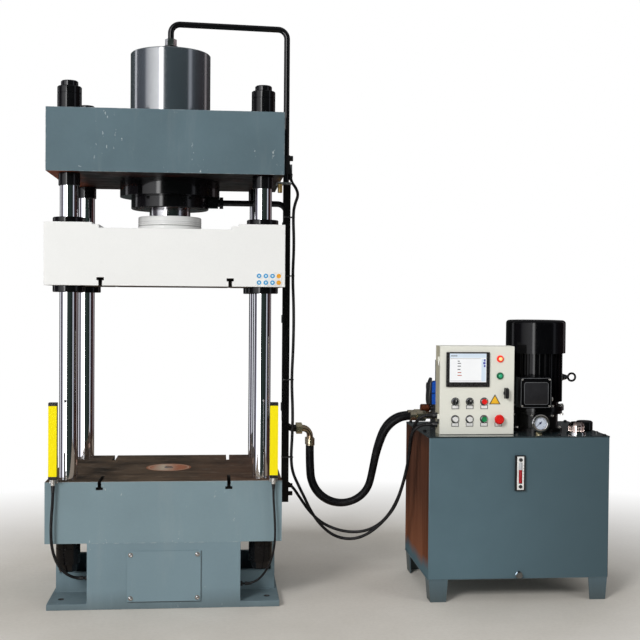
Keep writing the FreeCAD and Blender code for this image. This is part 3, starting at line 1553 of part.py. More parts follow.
def make_latch():
    """Quarter-turn latch: wing grip, stem and the cam behind the door."""
    base = rod(latch_dia, Vector(latch_x, cabinet_y - seat_gap, latch_z),
               Vector(latch_x, cabinet_y - seat_gap - latch_base, latch_z))
    y1 = cabinet_y - seat_gap - latch_base
    wing = block(latch_x - latch_wing_width / 2, latch_x + latch_wing_width / 2,
                 y1 - latch_wing_height, y1, latch_z - latch_wing_length / 2,
                 latch_z + latch_wing_length / 2)
    wing = wing.makeFillet(latch_wing_width / 2 - 0.5, [
        edge for edge in wing.Edges if abs(edge.BoundBox.YLength - latch_wing_height) < 0.01])
    cam_y = cabinet_face_y + cabinet_sheet + 2 * latch_cam_plate
    stem = rod(latch_stem_dia, Vector(latch_x, y1, latch_z), Vector(latch_x, cam_y, latch_z))
    cam = block(latch_x - latch_cam_width / 2, latch_x + latch_cam_width / 2, cam_y - latch_cam_plate,
                cam_y, latch_z - latch_cam_length, latch_z + latch_cam_width / 2)
    return joined([base, wing, stem, cam])


def make_control_plate():
    """Mounting plate at the back of the cabinet with its row of contactors."""
    y1 = cabinet_back_y - cabinet_sheet - seat_gap
    y0 = y1 - plate_thickness
    pieces = [block(cabinet_x + plate_margin, cabinet_x1 - plate_margin, y0, y1,
                    cabinet_bottom_z + plate_margin, cabinet_top_z - plate_margin)]
    middle_x = (cabinet_x + cabinet_x1) / 2
    z0 = cabinet_bottom_z + 2 * plate_margin
    for index in range(contactor_count):
        x = middle_x + (index - (contactor_count - 1) / 2) * contactor_pitch
        pieces.append(block(x - contactor_width / 2, x + contactor_width / 2, y0 - contactor_depth, y0,
                            z0, z0 + contactor_height))
    return joined(pieces)


save("control_cabinet", make_cabinet())
save("control_door", make_door())
save("control_plate", make_control_plate())
save("touch_panel", make_touch_panel())
save("door_fittings", make_door_fittings())
save("red_button", facing_front(make_button(), third_button, upper_row_z))
save("green_button", facing_front(make_button(), third_button, lower_row_z))
save("white_button_left", facing_front(make_button(), first_button, lower_row_z))
save("white_button_right", facing_front(make_button(), second_button, lower_row_z))
save("emergency_stop", facing_front(make_emergency_stop(), fourth_button, lower_row_z))
save("selector_left", facing_front(make_selector(), first_button, upper_row_z))
save("selector_right", facing_front(make_selector(), second_button, upper_row_z))
save("door_latch", make_latch())

# ---------------------------------------------------------------- hoses and cables
head_hose_y = rod_hose_y + hose_pitch


def bored_ferrule(place, axis):
    """Crimped sleeve around a hose's last run, closed by the end it butts against."""
    sleeve = ring(hose_dia + 2 * (fixed_gap + ferrule_wall), hose_dia + 2 * fixed_gap, 0.0,
                  ferrule_length, 1.0)
    end = ring(hose_dia + 2 * (fixed_gap + ferrule_wall), 0.0, -ferrule_end, 0.0)
    return placed(joined([sleeve, end]), place, axis)


def make_press_end(y):
    """Union nut, swept elbow and ferrule where a hose leaves its pipe."""
    nut = placed(hexagon(hose_nut_across, hose_nut_length), Vector(hose_union_x, y, hose_port_z), ALONG_X)
    elbow_points = [
        Vector(hose_union_x + hose_nut_length, y, hose_port_z),
        Vector(hose_drop_x, y, hose_port_z),
        Vector(hose_drop_x, y, hose_drop_z),
    ]
    elbow = swept(bent_wire(elbow_points, hose_elbow_bend), elbow_points, hose_elbow_dia)
    return joined([nut, elbow, bored_ferrule(Vector(hose_drop_x, y, hose_drop_z), -ALONG_Z)])


def make_tank_end(y):
    """Ferrule, nut and adaptor where a hose meets the manifold."""
    nut = placed(hexagon(hose_nut_across, tank_nut_x - tank_ferrule_x),
                 Vector(tank_ferrule_x, y, hose_end_z), ALONG_X)
    adaptor = rod(tank_adaptor_dia, Vector(tank_nut_x, y, hose_end_z), Vector(manifold_x, y, hose_end_z))
    return joined([nut, adaptor, bored_ferrule(Vector(tank_ferrule_x, y, hose_end_z), -ALONG_X)])


save("hose_fittings", [
    make_press_end(rod_riser_y), make_press_end(head_riser_y),
    make_tank_end(rod_hose_y), make_tank_end(head_hose_y),
])

save("rod_hose", cord("rod_hose", laid([
    Vector(620, 0, 637), Vector(620, 0, 575), Vector(622, -4, 513),
    Vector(626, -10, 454), Vector(657, -18, 399), Vector(710, -27, 364), Vector(773, -36, 357),
    Vector(832, -46, 380), Vector(874, -56, 428), Vector(889, -67, 503), Vector(901, -79, 572),
    Vector(917, -91, 633), Vector(939, -103, 691), Vector(975, -115, 730), Vector(1021, -122, 752),
    Vector(1072, -122, 752),
], Vector(hose_drop_x, rod_riser_y, hose_drop_z), Vector(tank_ferrule_x, rod_hose_y, hose_end_z),
    1, 14), hose_dia))

save("head_hose", cord("head_hose", laid([
    Vector(620, 40, 637), Vector(620, 40, 575), Vector(621, 36, 513),
    Vector(625, 30, 450), Vector(655, 23, 392), Vector(709, 16, 354), Vector(775, 8, 347),
    Vector(837, 0, 371), Vector(881, -8, 420), Vector(897, -16, 500), Vector(908, -25, 572),
    Vector(922, -34, 633), Vector(943, -43, 691), Vector(976, -54, 730), Vector(1021, -62, 752),
    Vector(1072, -62, 752),
], Vector(hose_drop_x, head_riser_y, hose_drop_z), Vector(tank_ferrule_x, head_hose_y, hose_end_z),
    1, 14), hose_dia))

save("rail_cable", cord("rail_cable", laid([
    Vector(527, 40, 1808), Vector(527, 40, 1779), Vector(552, 34, 1747), Vector(560, 12, 1713),
    Vector(545, -12, 1678), Vector(534, -31, 1630), Vector(540, -31, 1490), Vector(534, -31, 1354),
    Vector(541, -31, 1210), Vector(540, -31, 1050), Vector(533, -31, 900), Vector(540, -31, 760),
    Vector(538, -31, 650), Vector(533, -31, 560), Vector(540, -31, 495), Vector(568, -30, 435),
    Vector(598, -26, 375), Vector(625, -22, 318), Vector(664, -24, 262), Vector(716, -32, 217),
    Vector(775, -42, 199), Vector(835, -56, 206), Vector(892, -72, 240), Vector(944, -90, 293),
    Vector(987, -108, 356), Vector(1014, -130, 450), Vector(1030, -152, 540),
    Vector(1034, -176, 618), Vector(1034, -201, 674), Vector(1048, -219, 708),
    Vector(1081, -224, 728), Vector(1121, -224, 728),
], Vector(riser_x + rail_cable_reach, head_riser_y, switch_bottom_z),
    Vector(cable_end_x, cable_gland_y, cabinet_bottom_z + lower_gland_rise), 14, 30), rail_cable_dia))

save("control_cable", cord("control_cable", laid([
    Vector(475, 88, 440), Vector(512, 88, 440), Vector(549, 80, 412), Vector(583, 66, 362),
    Vector(622, 48, 306), Vector(676, 24, 258), Vector(740, 2, 232), Vector(806, -16, 223),
    Vector(868, -34, 232), Vector(925, -52, 264), Vector(968, -68, 316), Vector(1000, -84, 382),
    Vector(1020, -98, 452), Vector(1034, -112, 524), Vector(1044, -126, 596),
    Vector(1047, -150, 664), Vector(1050, -184, 713), Vector(1062, -212, 748),
    Vector(1088, -224, 766), Vector(1121, -224, 766),
], Vector(side_x, control_exit_y, control_exit_z),
    Vector(cable_end_x, cable_gland_y, cabinet_bottom_z + upper_gland_rise), 1, 18), control_cable_dia))

guard_plug_end_z = guard_bottom_z - guard_plug_length
left_entry_x = -stand_half - guard_gland_length
right_entry_x = stand_half + guard_gland_length
save("left_guard_cable", cord("left_guard_cable", laid([
    Vector(-439, -378.5, 505), Vector(-439, -378.5, 450), Vector(-444, -381, 385),
    Vector(-446, -382, 320), Vector(-443, -380, 262), Vector(-430, -372, 208),
    Vector(-410, -355, 166), Vector(-384, -331, 134), Vector(-355, -312, 118), Vector(-318, -312, 118),
], Vector(-guard_x, guard_y, guard_plug_end_z), Vector(left_entry_x, guard_entry_y, left_entry_z), 1, 8),
    left_guard_cable_dia))

save("right_guard_cable", cord("right_guard_cable", laid([
    Vector(439, -378.5, 505), Vector(439, -378.5, 450), Vector(444, -381, 385),
    Vector(447, -382, 320), Vector(446, -381, 262), Vector(437, -374, 208), Vector(420, -360, 160),
    Vector(396, -338, 119), Vector(362, -312, 84), Vector(318, -312, 84),
], Vector(guard_x, guard_y, guard_plug_end_z), Vector(right_entry_x, guard_entry_y, right_entry_z), 1, 8),
    right_guard_cable_dia))
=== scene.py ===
import bpy
import bmesh
import math
import random
from mathutils import Matrix, Vector


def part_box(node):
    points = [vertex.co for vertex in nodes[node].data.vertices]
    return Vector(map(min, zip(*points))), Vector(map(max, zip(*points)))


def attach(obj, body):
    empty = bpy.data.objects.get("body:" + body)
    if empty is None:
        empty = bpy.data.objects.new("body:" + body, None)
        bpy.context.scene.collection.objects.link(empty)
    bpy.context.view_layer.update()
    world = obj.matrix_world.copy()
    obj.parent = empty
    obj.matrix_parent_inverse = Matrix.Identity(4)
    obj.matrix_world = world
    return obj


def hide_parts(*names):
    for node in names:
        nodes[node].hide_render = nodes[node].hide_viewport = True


# A four-column hydraulic press with its power unit. The frame is in metres, and the pieces
# below are drawn in millimetres and scaled once, when they are linked.
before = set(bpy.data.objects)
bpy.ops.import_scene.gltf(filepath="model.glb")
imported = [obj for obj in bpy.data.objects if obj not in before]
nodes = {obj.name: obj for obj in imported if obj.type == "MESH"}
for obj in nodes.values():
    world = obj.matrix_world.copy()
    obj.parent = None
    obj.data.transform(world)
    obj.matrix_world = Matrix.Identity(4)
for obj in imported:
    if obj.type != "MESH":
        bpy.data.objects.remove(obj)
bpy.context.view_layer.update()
MM = 0.001
PER_METRE = 1000.0
UP, DOWN = (0, 0, 1), (0, 0, -1)
FRONT, BACK = (0, -1, 0), (0, 1, 0)
RIGHT, LEFT = (1, 0, 0), (-1, 0, 0)
SHARP_ANGLE = math.radians(38.0)
rng = random.Random(11)


# ---------------------------------------------------------------- camera
def make_camera():
    """Camera at the place and angle from which the press is seen."""
    eye = (0.21359, -4.64523, 1.26358)
    yaw, pitch, roll = 0.0956677, 0.0213310, 0.0082114
    focal_length, sensor_width = 59.397, 36.0
    look = Vector((math.sin(yaw) * math.cos(pitch), math.cos(yaw) * math.cos(pitch), -math.sin(pitch)))
    level = Vector((math.cos(yaw), -math.sin(yaw), 0.0))
    lift = level.cross(look)
    right = math.cos(roll) * level + math.sin(roll) * lift
    up = -math.sin(roll) * level + math.cos(roll) * lift
    data = bpy.data.cameras.new("camera")
    data.sensor_width = sensor_width
    data.lens = focal_length
    data.clip_end = 100.0
    camera = bpy.data.objects.new("camera", data)
    turn = Matrix((right, up, -look)).transposed().to_4x4()
    camera.matrix_world = Matrix.Translation(eye) @ turn
    bpy.context.scene.collection.objects.link(camera)
    bpy.context.scene.camera = camera


make_camera()


# ---------------------------------------------------------------- finishes
class Finish:
    """One procedural material built around a single Principled shader."""

    def __init__(self, name, rough=0.5, metal=0.0, coat=0.0, coat_rough=0.08, specular=0.5):
        self.mat = bpy.data.materials.new(name)
        self.mat.use_nodes = True
        self.nodes = self.mat.node_tree.nodes
        self.links = self.mat.node_tree.links
        self.nodes.clear()
        out = self.nodes.new("ShaderNodeOutputMaterial")
        self.shader = self.nodes.new("ShaderNodeBsdfPrincipled")
        self.links.new(self.shader.outputs[0], out.inputs[0])
        self.place = self.nodes.new("ShaderNodeTexCoord").outputs["Object"]
        self.put("Roughness", rough)
        self.put("Metallic", metal)
        self.put("Coat Weight", coat)
        self.put("Coat Roughness", coat_rough)
        self.put("Specular IOR Level", specular)

    def put(self, socket, value):
        self.join(value, self.shader.inputs[socket])

    def join(self, value, target):
        """Links a socket to another one, or sets a plain value or colour on it."""
        if isinstance(value, bpy.types.NodeSocket):
            self.links.new(value, target)
        elif isinstance(value, tuple) and len(value) == 3 and target.type == "RGBA":
            target.default_value = (*value, 1.0)
        else:
            target.default_value = value

    def math(self, operation, *values, clamp=False):
        node = self.nodes.new("ShaderNodeMath")
        node.operation = operation
        node.use_clamp = clamp
        for value, target in zip(values, node.inputs):
            self.join(value, target)
        return node.outputs[0]

    def plus(self, first, second):
        return self.math("ADD", first, second)

    def minus(self, first, second):
        return self.math("SUBTRACT", first, second)

    def times(self, first, second):
        return self.math("MULTIPLY", first, second)

    def distance(self, first, second):
        """Length of the diagonal over two offsets."""
        return self.math("SQRT", self.plus(self.times(first, first), self.times(second, second)))

    def stretched(self, factors):
        """The place on the surface with each axis scaled by its own factor."""
        node = self.nodes.new("ShaderNodeVectorMath")
        node.operation = "MULTIPLY"
        self.links.new(self.place, node.inputs[0])
        node.inputs[1].default_value = factors
        return node.outputs[0]

    def axes(self):
        node = self.nodes.new("ShaderNodeSeparateXYZ")
        self.links.new(self.place, node.inputs[0])
        return node.outputs

    def noise(self, scale, detail=4.0, rough=0.55, stretch=None):
        node = self.nodes.new("ShaderNodeTexNoise")
        self.links.new(self.stretched(stretch) if stretch else self.place, node.inputs["Vector"])
        node.inputs["Scale"].default_value = scale
        node.inputs["Detail"].default_value = detail
        node.inputs["Roughness"].default_value = rough
        return node.outputs[0]

    def band(self, value, low, high, to_low=0.0, to_high=1.0):
        """The value's way from low to high, carried over to another range and kept inside it."""
        node = self.nodes.new("ShaderNodeMapRange")
        self.join(value, node.inputs[0])
        for index, number in enumerate((low, high, to_low, to_high), 1):
            node.inputs[index].default_value = number
        return node.outputs[0]

    def mix(self, share, first, second):
        node = self.nodes.new("ShaderNodeMix")
        node.data_type = "RGBA"
        self.join(share, node.inputs[0])
        self.join(first, node.inputs[6])
        self.join(second, node.inputs[7])
        return node.outputs[2]

    def bump(self, height, distance, strength):
        node = self.nodes.new("ShaderNodeBump")
        node.inputs["Strength"].default_value = strength
        node.inputs["Distance"].default_value = distance
        self.links.new(height, node.inputs["Height"])
        self.put("Normal", node.outputs[0])

    def edge_wear(self, node_name, width):
        """Share of bare edge: uneven strips along the edges of a node's box."""
        low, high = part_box(node_name)
        reach = []
        for value, start, end in zip(self.axes(), low, high):
            offset = self.math("ABSOLUTE", self.minus(value, (start + end) / 2))
            reach.append(self.minus((end - start) / 2, offset))
        nearest = self.math("MINIMUM", reach[0], reach[1])
        farther = self.math("MAXIMUM", reach[0], reach[1])
        second = self.math("MAXIMUM", nearest, self.math("MINIMUM", farther, reach[2]))
        limit = self.band(self.noise(34.0, 6.0, 0.7), 0.46, 0.72, 0.0, width)
        return self.math("LESS_THAN", second, limit)


def shade(colour, factor):
    """The colour made darker or lighter."""
    return tuple(min(1.0, channel * factor) for channel in colour)


def painted(name, colour, rough=0.38, coat=0.06, wear=None, wear_width=0.004, wear_colour=(0.34, 0.36, 0.37),
            chips=0.0, mottle=0.12, dust=(0.52, 0.50, 0.46), dust_share=0.10, peel=0.00025, coat_ior=1.5,
            sheen=0.22, darker_near_floor=False):
    """Sprayed enamel: uneven film, dust in the run marks, chips and rubbed edges."""
    f = Finish(name, rough, 0.0, coat, 0.12, sheen)
    f.put("Coat IOR", coat_ior)
    cloud = f.noise(2.6, 5.0, 0.6)
    base = f.mix(f.band(cloud, 0.3, 0.7), shade(colour, 1.0 - mottle), shade(colour, 1.0 + mottle))
    speck = f.noise(150.0, 3.0, 0.6)
    base = f.mix(f.band(speck, 0.35, 0.75, 0.0, 0.10), base, shade(colour, 1.35))
    runs = f.noise(9.0, 6.0, 0.7, (1.0, 1.0, 0.16))
    base = f.mix(f.band(runs, 0.55, 0.85, 0.0, dust_share), base, dust)
    # Darker near the floor, up to about 0.11 m above it.
    if darker_near_floor:
        low = f.plus(f.axes()[2], f.times(runs, 0.06))
        base = f.mix(f.band(low, 0.035, 0.11, 0.42, 0.0), base, (0.055, 0.060, 0.055))
    if chips:
        where = f.noise(5.5, 2.0, 0.5)
        fine = f.noise(62.0, 4.0, 0.75, (1.0, 1.0, 0.45))
        mark = f.times(f.band(where, 0.52, 0.60), f.band(fine, 0.640, 0.675))
        base = f.mix(f.times(mark, chips), base, wear_colour)
    if wear:
        worn = f.edge_wear(wear, wear_width)
        base = f.mix(f.times(worn, 0.32), base, wear_colour)
    f.put("Base Color", base)
    f.put("Roughness", f.band(f.noise(11.0, 5.0, 0.65), 0.3, 0.75, rough - 0.08, rough + 0.14))
    f.bump(f.noise(260.0, 2.0, 0.5), peel, 0.35)
    return f.mat


def turned_metal(name, colour, rough=0.28, stretch=(3.0, 3.0, 260.0), stain_and_reflection=(0.10, 0.08, 0.07),
                 stain_and_reflection_share=0.35, groove=0.00006, metal=1.0):
    """Bright or plated metal with tool marks, fingerprints and a few stains; on the breather cap its pink
    tone and red blots are a painted reflection.
    """
    f = Finish(name, rough, metal)
    marks = f.noise(1.0, 3.0, 0.6, stretch)
    base = f.mix(f.band(marks, 0.3, 0.7), shade(colour, 0.82), shade(colour, 1.12))
    blot = f.noise(24.0, 6.0, 0.7)
    base = f.mix(f.band(blot, 0.52, 0.78, 0.0, stain_and_reflection_share), base, stain_and_reflection)
    f.put("Base Color", base)
    f.put("Roughness", f.band(f.noise(40.0, 4.0, 0.6), 0.3, 0.7, rough * 0.6, rough * 1.5))
    f.bump(marks, groove, 0.6)
    return f.mat


def black_gloss(name, colour, rough, coat, dust_share, tint):
    """Blacked or black-painted steel under oil, with lint and dull patches."""
    f = Finish(name, rough, 0.0, coat, 0.05, 0.04)
    f.put("Coat Roughness", f.band(f.noise(13.0, 4.0, 0.6), 0.35, 0.7, 0.03, rough * 0.7))
    cloud = f.noise(7.0, 5.0, 0.65)
    base = f.mix(f.band(cloud, 0.35, 0.75), colour, shade(colour, 2.2))
    lint = f.noise(95.0, 5.0, 0.75)
    base = f.mix(f.band(lint, 0.60, 0.82, 0.0, dust_share * 4.0), base, tint)
    f.put("Base Color", base)
    f.put("Roughness", f.band(f.noise(18.0, 5.0, 0.7), 0.3, 0.75, rough * 1.2, rough * 2.6))
    f.bump(f.noise(30.0, 2.0, 0.5), 0.0003, 0.15)
    return f.mat


def moulded(name, colour, rough):
    """Moulded plastic with a fine spark-eroded grain and a handled sheen."""
    grain = 0.00008
    f = Finish(name, rough, 0.0, 0.0, 0.1)
    cloud = f.noise(45.0, 4.0, 0.6)
    f.put("Base Color", f.mix(f.band(cloud, 0.3, 0.7), shade(colour, 0.86), shade(colour, 1.10)))
    f.put("Roughness", f.band(f.noise(160.0, 3.0, 0.6), 0.3, 0.7, rough * 0.75, rough * 1.35))
    f.bump(f.noise(900.0, 2.0, 0.5), grain, 0.5)
    return f.mat


def chrome_rod():
    """Hard-chromed column with a faint oil film and grinding marks, blacked at both ends."""
    crown_top, table_bottom = 2.0135, 0.268
    f = Finish("chrome_rod", 0.05, 1.0)
    marks = f.noise(1.0, 2.0, 0.5, (2.0, 2.0, 140.0))
    film = f.noise(6.0, 1.0, 0.5, (1.0, 1.0, 0.3))
    bright = f.mix(f.band(marks, 0.35, 0.65), (0.80, 0.81, 0.83), (0.84, 0.85, 0.87))
    bright = f.mix(f.band(film, 0.55, 0.85, 0.0, 0.22), bright, (0.52, 0.48, 0.45))
    height = f.axes()[2]
    above = f.math("GREATER_THAN", height, crown_top)
    below = f.math("LESS_THAN", height, table_bottom)
    end = f.math("ADD", above, below, clamp=True)
    f.put("Base Color", f.mix(end, bright, (0.004, 0.004, 0.005)))
    f.put("Metallic", f.minus(1.0, end))
    f.put("Roughness", f.plus(f.band(film, 0.3, 0.8, 0.032, 0.042), f.times(end, 0.10)))
    return f.mat


def table_steel():
    """Milled table top, oiled and browned, with scratches and brighter rubbed patches."""
    f = Finish("table_steel", 0.42, 0.0, 0.0, 0.1, 0.07)
    x, y, _ = f.axes()
    mill = f.noise(1.0, 5.0, 0.7, (4.0, 95.0, 9.0))
    cloud = f.noise(4.2, 6.0, 0.72)
    base = f.mix(f.band(cloud, 0.38, 0.64), (0.020, 0.012, 0.007), (0.118, 0.082, 0.054))
    red_tint = f.plus(f.times(x, 0.9), f.times(cloud, 0.8))
    base = f.mix(f.band(red_tint, 0.42, 0.75, 0.0, 0.65), base, (0.085, 0.036, 0.021))
    base = f.mix(f.band(mill, 0.48, 0.66, 0.0, 0.65), base, (0.185, 0.130, 0.088))
    scratch = f.noise(38.0, 5.0, 0.8, (0.35, 1.6, 1.0))
    base = f.mix(f.band(scratch, 0.58, 0.68, 0.0, 0.6), base, (0.40, 0.34, 0.29))
    front = f.band(f.plus(y, f.times(mill, 0.006)), -0.3525, -0.3495, 0.85, 0.0)
    base = f.mix(front, base, (0.52, 0.49, 0.45))
    f.put("Base Color", base)
    f.put("Roughness", f.band(cloud, 0.3, 0.75, 0.34, 0.60))
    f.bump(mill, 0.00015, 0.5)
    return f.mat


def rusty_copper():
    """Knock-out disc: turned face, copper-brown bloom towards its rim, and a painted highlight across its
    middle and near its edge.
    """
    f = Finish("disc_steel", 0.36, 0.25, 0.0, 0.1, 0.6)
    x, y, _ = f.axes()
    radius = f.distance(x, y)
    rings = f.math("SINE", f.times(radius, 1900.0))
    bloom = f.noise(22.0, 6.0, 0.75)
    cloud = f.noise(11.0, 3.0, 0.6)
    # A pale band a little left of the middle, copper to either side: painted highlight.
    way = f.plus(f.plus(x, 0.020), f.times(f.minus(cloud, 0.5), 0.07))
    base = f.mix(f.band(f.math("ABSOLUTE", way), 0.004, 0.062), (0.74, 0.60, 0.46), (0.56, 0.19, 0.09))
    base = f.mix(f.band(radius, 0.070, 0.092, 0.0, 0.8), base, (0.42, 0.15, 0.07))
    base = f.mix(f.band(bloom, 0.55, 0.80, 0.0, 0.5), base, (0.22, 0.085, 0.045))
    # Thin pale ring near the edge: a painted highlight.
    rim = f.times(f.band(radius, 0.0820, 0.0835), f.band(radius, 0.0875, 0.0890, 1.0, 0.0))
    base = f.mix(f.times(rim, 0.7), base, (0.78, 0.62, 0.46))
    f.put("Base Color", base)
    f.put("Roughness", f.band(bloom, 0.3, 0.7, 0.28, 0.55))
    f.bump(rings, 0.00005, 0.5)
    return f.mat


def tank_paint(name, side):
    """Tank enamel, darker to the right as painted shade; its flank towards the press shows a painted
    red-brown reflection.
    """
    f = Finish(name, 0.36, 0.0, 0.0 if side else 0.08, 0.14, 0.03 if side else 0.25)
    along, _, height = f.axes()
    colour = (0.088, 0.146, 0.175)
    cloud = f.noise(2.2, 5.0, 0.6)
    base = f.mix(f.band(cloud, 0.3, 0.7), shade(colour, 0.93), shade(colour, 1.10))
    # Darker towards the right end: painted shade.
    base = f.mix(f.band(along, 1.25, 1.95), base, shade(colour, 0.62))
    streak = f.noise(8.0, 6.0, 0.7, (1.0, 1.0, 0.10))
    # The flank: a painted reflection of a red-brown floor above a blue-grey foot, redder low down and darker
    # towards the lid.
    if side:
        cut = f.plus(height, f.times(streak, 0.08))
        brown = f.mix(f.band(streak, 0.38, 0.62), (0.048, 0.018, 0.011), (0.120, 0.048, 0.028))
        red_tint = f.mix(f.band(streak, 0.40, 0.60), (0.15, 0.050, 0.024), (0.24, 0.090, 0.046))
        brown = f.mix(f.band(height, 0.16, 0.44, 1.0, 0.0), brown, red_tint)
        base = f.mix(f.band(cut, 0.165, 0.215), base, brown)
        base = f.mix(f.band(height, 0.62, 0.69, 0.0, 0.7), base, (0.035, 0.022, 0.018))
    else:
        base = f.mix(f.band(streak, 0.60, 0.90, 0.0, 0.10), base, (0.16, 0.21, 0.23))
    base = f.mix(f.times(f.edge_wear("tank_body", 0.0018), 0.35), base, (0.30, 0.33, 0.34))
    f.put("Base Color", base)
    f.put("Roughness", f.band(f.noise(9.0, 5.0, 0.65), 0.3, 0.75, 0.30, 0.48) if not side else 0.75)
    f.bump(f.noise(240.0, 2.0, 0.5), 0.00020, 0.3)
    return f.mat


def crown_underside_primer():
    """Red primer under the crown, bright at its left end and darker over the rest."""
    f = Finish("red_primer", 0.5, 0.0, 0.0, 0.2, 0.15)
    cloud = f.noise(6.0, 5.0, 0.65)
    along = f.plus(f.axes()[0], f.times(f.minus(cloud, 0.5), 0.22))
    red = f.mix(f.band(cloud, 0.35, 0.65), (0.20, 0.045, 0.016), (0.36, 0.085, 0.030))
    darker_rest = f.mix(f.band(cloud, 0.42, 0.72), (0.006, 0.004, 0.004), (0.050, 0.013, 0.008))
    f.put("Base Color", f.mix(f.band(along, -0.44, -0.35), red, darker_rest))
    f.put("Roughness", f.band(f.noise(14.0, 5.0, 0.65), 0.3, 0.75, 0.30, 0.60))
    f.bump(f.noise(180.0, 3.0, 0.6), 0.0003, 0.4)
    return f.mat


def hose_cover():
    """Oiled hose cover with the print of its curing wrap and scuffed dust on the outside of bends."""
    f = Finish("hose_cover", 0.34, 0.0, 0.0, 0.1, 0.12)
    wrap = f.noise(1.0, 2.0, 0.5, (330.0, 330.0, 330.0))
    scuff = f.noise(30.0, 6.0, 0.75)
    base = f.mix(f.band(scuff, 0.52, 0.82, 0.0, 0.7), (0.006, 0.006, 0.007), (0.045, 0.043, 0.041))
    f.put("Base Color", base)
    f.put("Roughness", f.band(scuff, 0.3, 0.75, 0.24, 0.52))
    f.bump(wrap, 0.0005, 0.6)
    return f.mat


def cable_sheath():
    """Matt plastic sheath of a cable, scuffed grey in places."""
    f = Finish("cable_sheath", 0.36, 0.0, 0.0, 0.1, 0.20)
    scuff = f.noise(60.0, 5.0, 0.7)
    base = f.mix(f.band(scuff, 0.45, 0.8, 0.0, 0.7), (0.010, 0.010, 0.011), (0.045, 0.043, 0.042))
    f.put("Base Color", base)
    f.put("Roughness", f.band(scuff, 0.3, 0.75, 0.28, 0.5))
    f.bump(f.noise(420.0, 3.0, 0.6), 0.0002, 0.4)
    return f.mat


def lit_page(name, colour):
    """Lit glass of the touch panel, a little paler to one side."""
    f = Finish(name, 0.14, 0.0, 0.0, 0.1, 0.4)
    cloud = f.noise(14.0, 2.0, 0.5)
    tone = f.mix(f.band(cloud, 0.3, 0.7), shade(colour, 0.96), colour)
    f.put("Base Color", f.mix(0.5, tone, (0.5, 0.5, 0.5)))
    f.put("Emission Color", tone)
    f.put("Emission Strength", 0.30)
    f.put("Roughness", f.band(f.noise(90.0, 3.0, 0.6), 0.3, 0.7, 0.10, 0.20))
    return f.mat


def lamp_lens(name, centre, ring, core, glow):
    """Ribbed lamp lens, paler over its bulb than at its rim."""
    bulb, rim = 0.0055, 0.0095
    f = Finish(name, 0.16, 0.0, 0.5, 0.03)
    x, _, z = f.axes()
    dx = f.minus(x, centre[0])
    dz = f.minus(z, centre[1])
    radius = f.distance(dx, dz)
    ribs = f.math("SINE", f.times(radius, 4200.0))
    colour = f.mix(f.band(radius, bulb, rim), core, ring)
    f.put("Base Color", colour)
    f.put("Emission Color", colour)
    f.put("Emission Strength", glow)
    f.put("Roughness", f.band(f.noise(300.0, 2.0), 0.3, 0.7, 0.12, 0.22))
    f.bump(ribs, 0.00008, 0.5)
    return f.mat


# The crown, table, stand, cover plate and tank are one blue-grey enamel. The darker crown and tank colours
# and the lighter table, stand and cover colours are painted shade and painted light.
crown_paint = painted("crown_paint", (0.100, 0.150, 0.174), wear="crown", wear_width=0.005, chips=1.0,
                      wear_colour=(0.46, 0.50, 0.50))
table_paint = painted("table_paint", (0.194, 0.271, 0.303), wear="table_body", wear_width=0.002, chips=0.5,
                      wear_colour=(0.55, 0.57, 0.57), mottle=0.06)
stand_paint = painted("stand_paint", (0.176, 0.250, 0.285), wear="base_stand", wear_width=0.003, chips=0.4,
                      wear_colour=(0.46, 0.48, 0.48), mottle=0.07, dust_share=0.12, darker_near_floor=True)
cover_paint = painted("cover_paint", (0.186, 0.264, 0.300), wear="base_cover", wear_width=0.0015, mottle=0.04,
                      wear_colour=(0.06, 0.08, 0.09))
# The lid is painted far darker than the tank's enamel: a painted dark reflection.
lid_paint = painted("lid_paint", (0.024, 0.035, 0.039), rough=0.20, coat=0.4, mottle=0.25, dust_share=0.06)
foot_paint = painted("tank_foot_paint", (0.085, 0.125, 0.145), mottle=0.12, dust_share=0.10, darker_near_floor=True)
primer = crown_underside_primer()
barrel_paint = painted("barrel_paint", (0.044, 0.058, 0.069), rough=0.24, coat=1.0, mottle=0.10,
                       dust_share=0.03, coat_ior=2.8, sheen=0.3)
slide_paint = painted("slide_paint", (0.845, 0.85, 0.835), rough=0.34, coat=0.3, wear="slide_plate",
                      wear_width=0.003, wear_colour=(0.50, 0.48, 0.45), mottle=0.02,
                      dust=(0.66, 0.64, 0.60), dust_share=0.06)
cream_paint = painted("cabinet_paint", (0.81, 0.81, 0.725), rough=0.42, coat=0.05, wear="control_door",
                      wear_width=0.0012, wear_colour=(0.50, 0.48, 0.42), mottle=0.02,
                      dust=(0.66, 0.63, 0.54), dust_share=0.04, peel=0.0006)
# The cabinet's left side in a darker, dustier tan than its cream front: painted shade.
cabinet_side_shade = painted("cabinet_side_painted_shade", (0.52, 0.49, 0.37), rough=0.45, mottle=0.10,
                     dust=(0.36, 0.32, 0.22), dust_share=0.25, peel=0.0006)
yellow_paint = painted("yellow_profile", (1.0, 0.82, 0.003), rough=0.3, coat=0.4, mottle=0.04,
                       dust=(0.75, 0.55, 0.02), dust_share=0.06)
motor_paint = black_gloss("motor_enamel", (0.0018, 0.0018, 0.0022), 0.10, 0.26, 0.02, (0.02, 0.02, 0.02))
oxide = black_gloss("black_oxide", (0.0026, 0.0026, 0.0030), 0.14, 0.55, 0.03, (0.04, 0.035, 0.03))
pipe_black = black_gloss("pipe_black", (0.0026, 0.0026, 0.0030), 0.15, 0.80, 0.03, (0.04, 0.04, 0.04))
rail_black = black_gloss("rail_black", (0.0026, 0.0026, 0.0026), 0.26, 0.25, 0.04, (0.03, 0.03, 0.03))
brown_black = black_gloss("oiled_brown", (0.030, 0.009, 0.005), 0.24, 0.5, 0.08, (0.11, 0.045, 0.028))
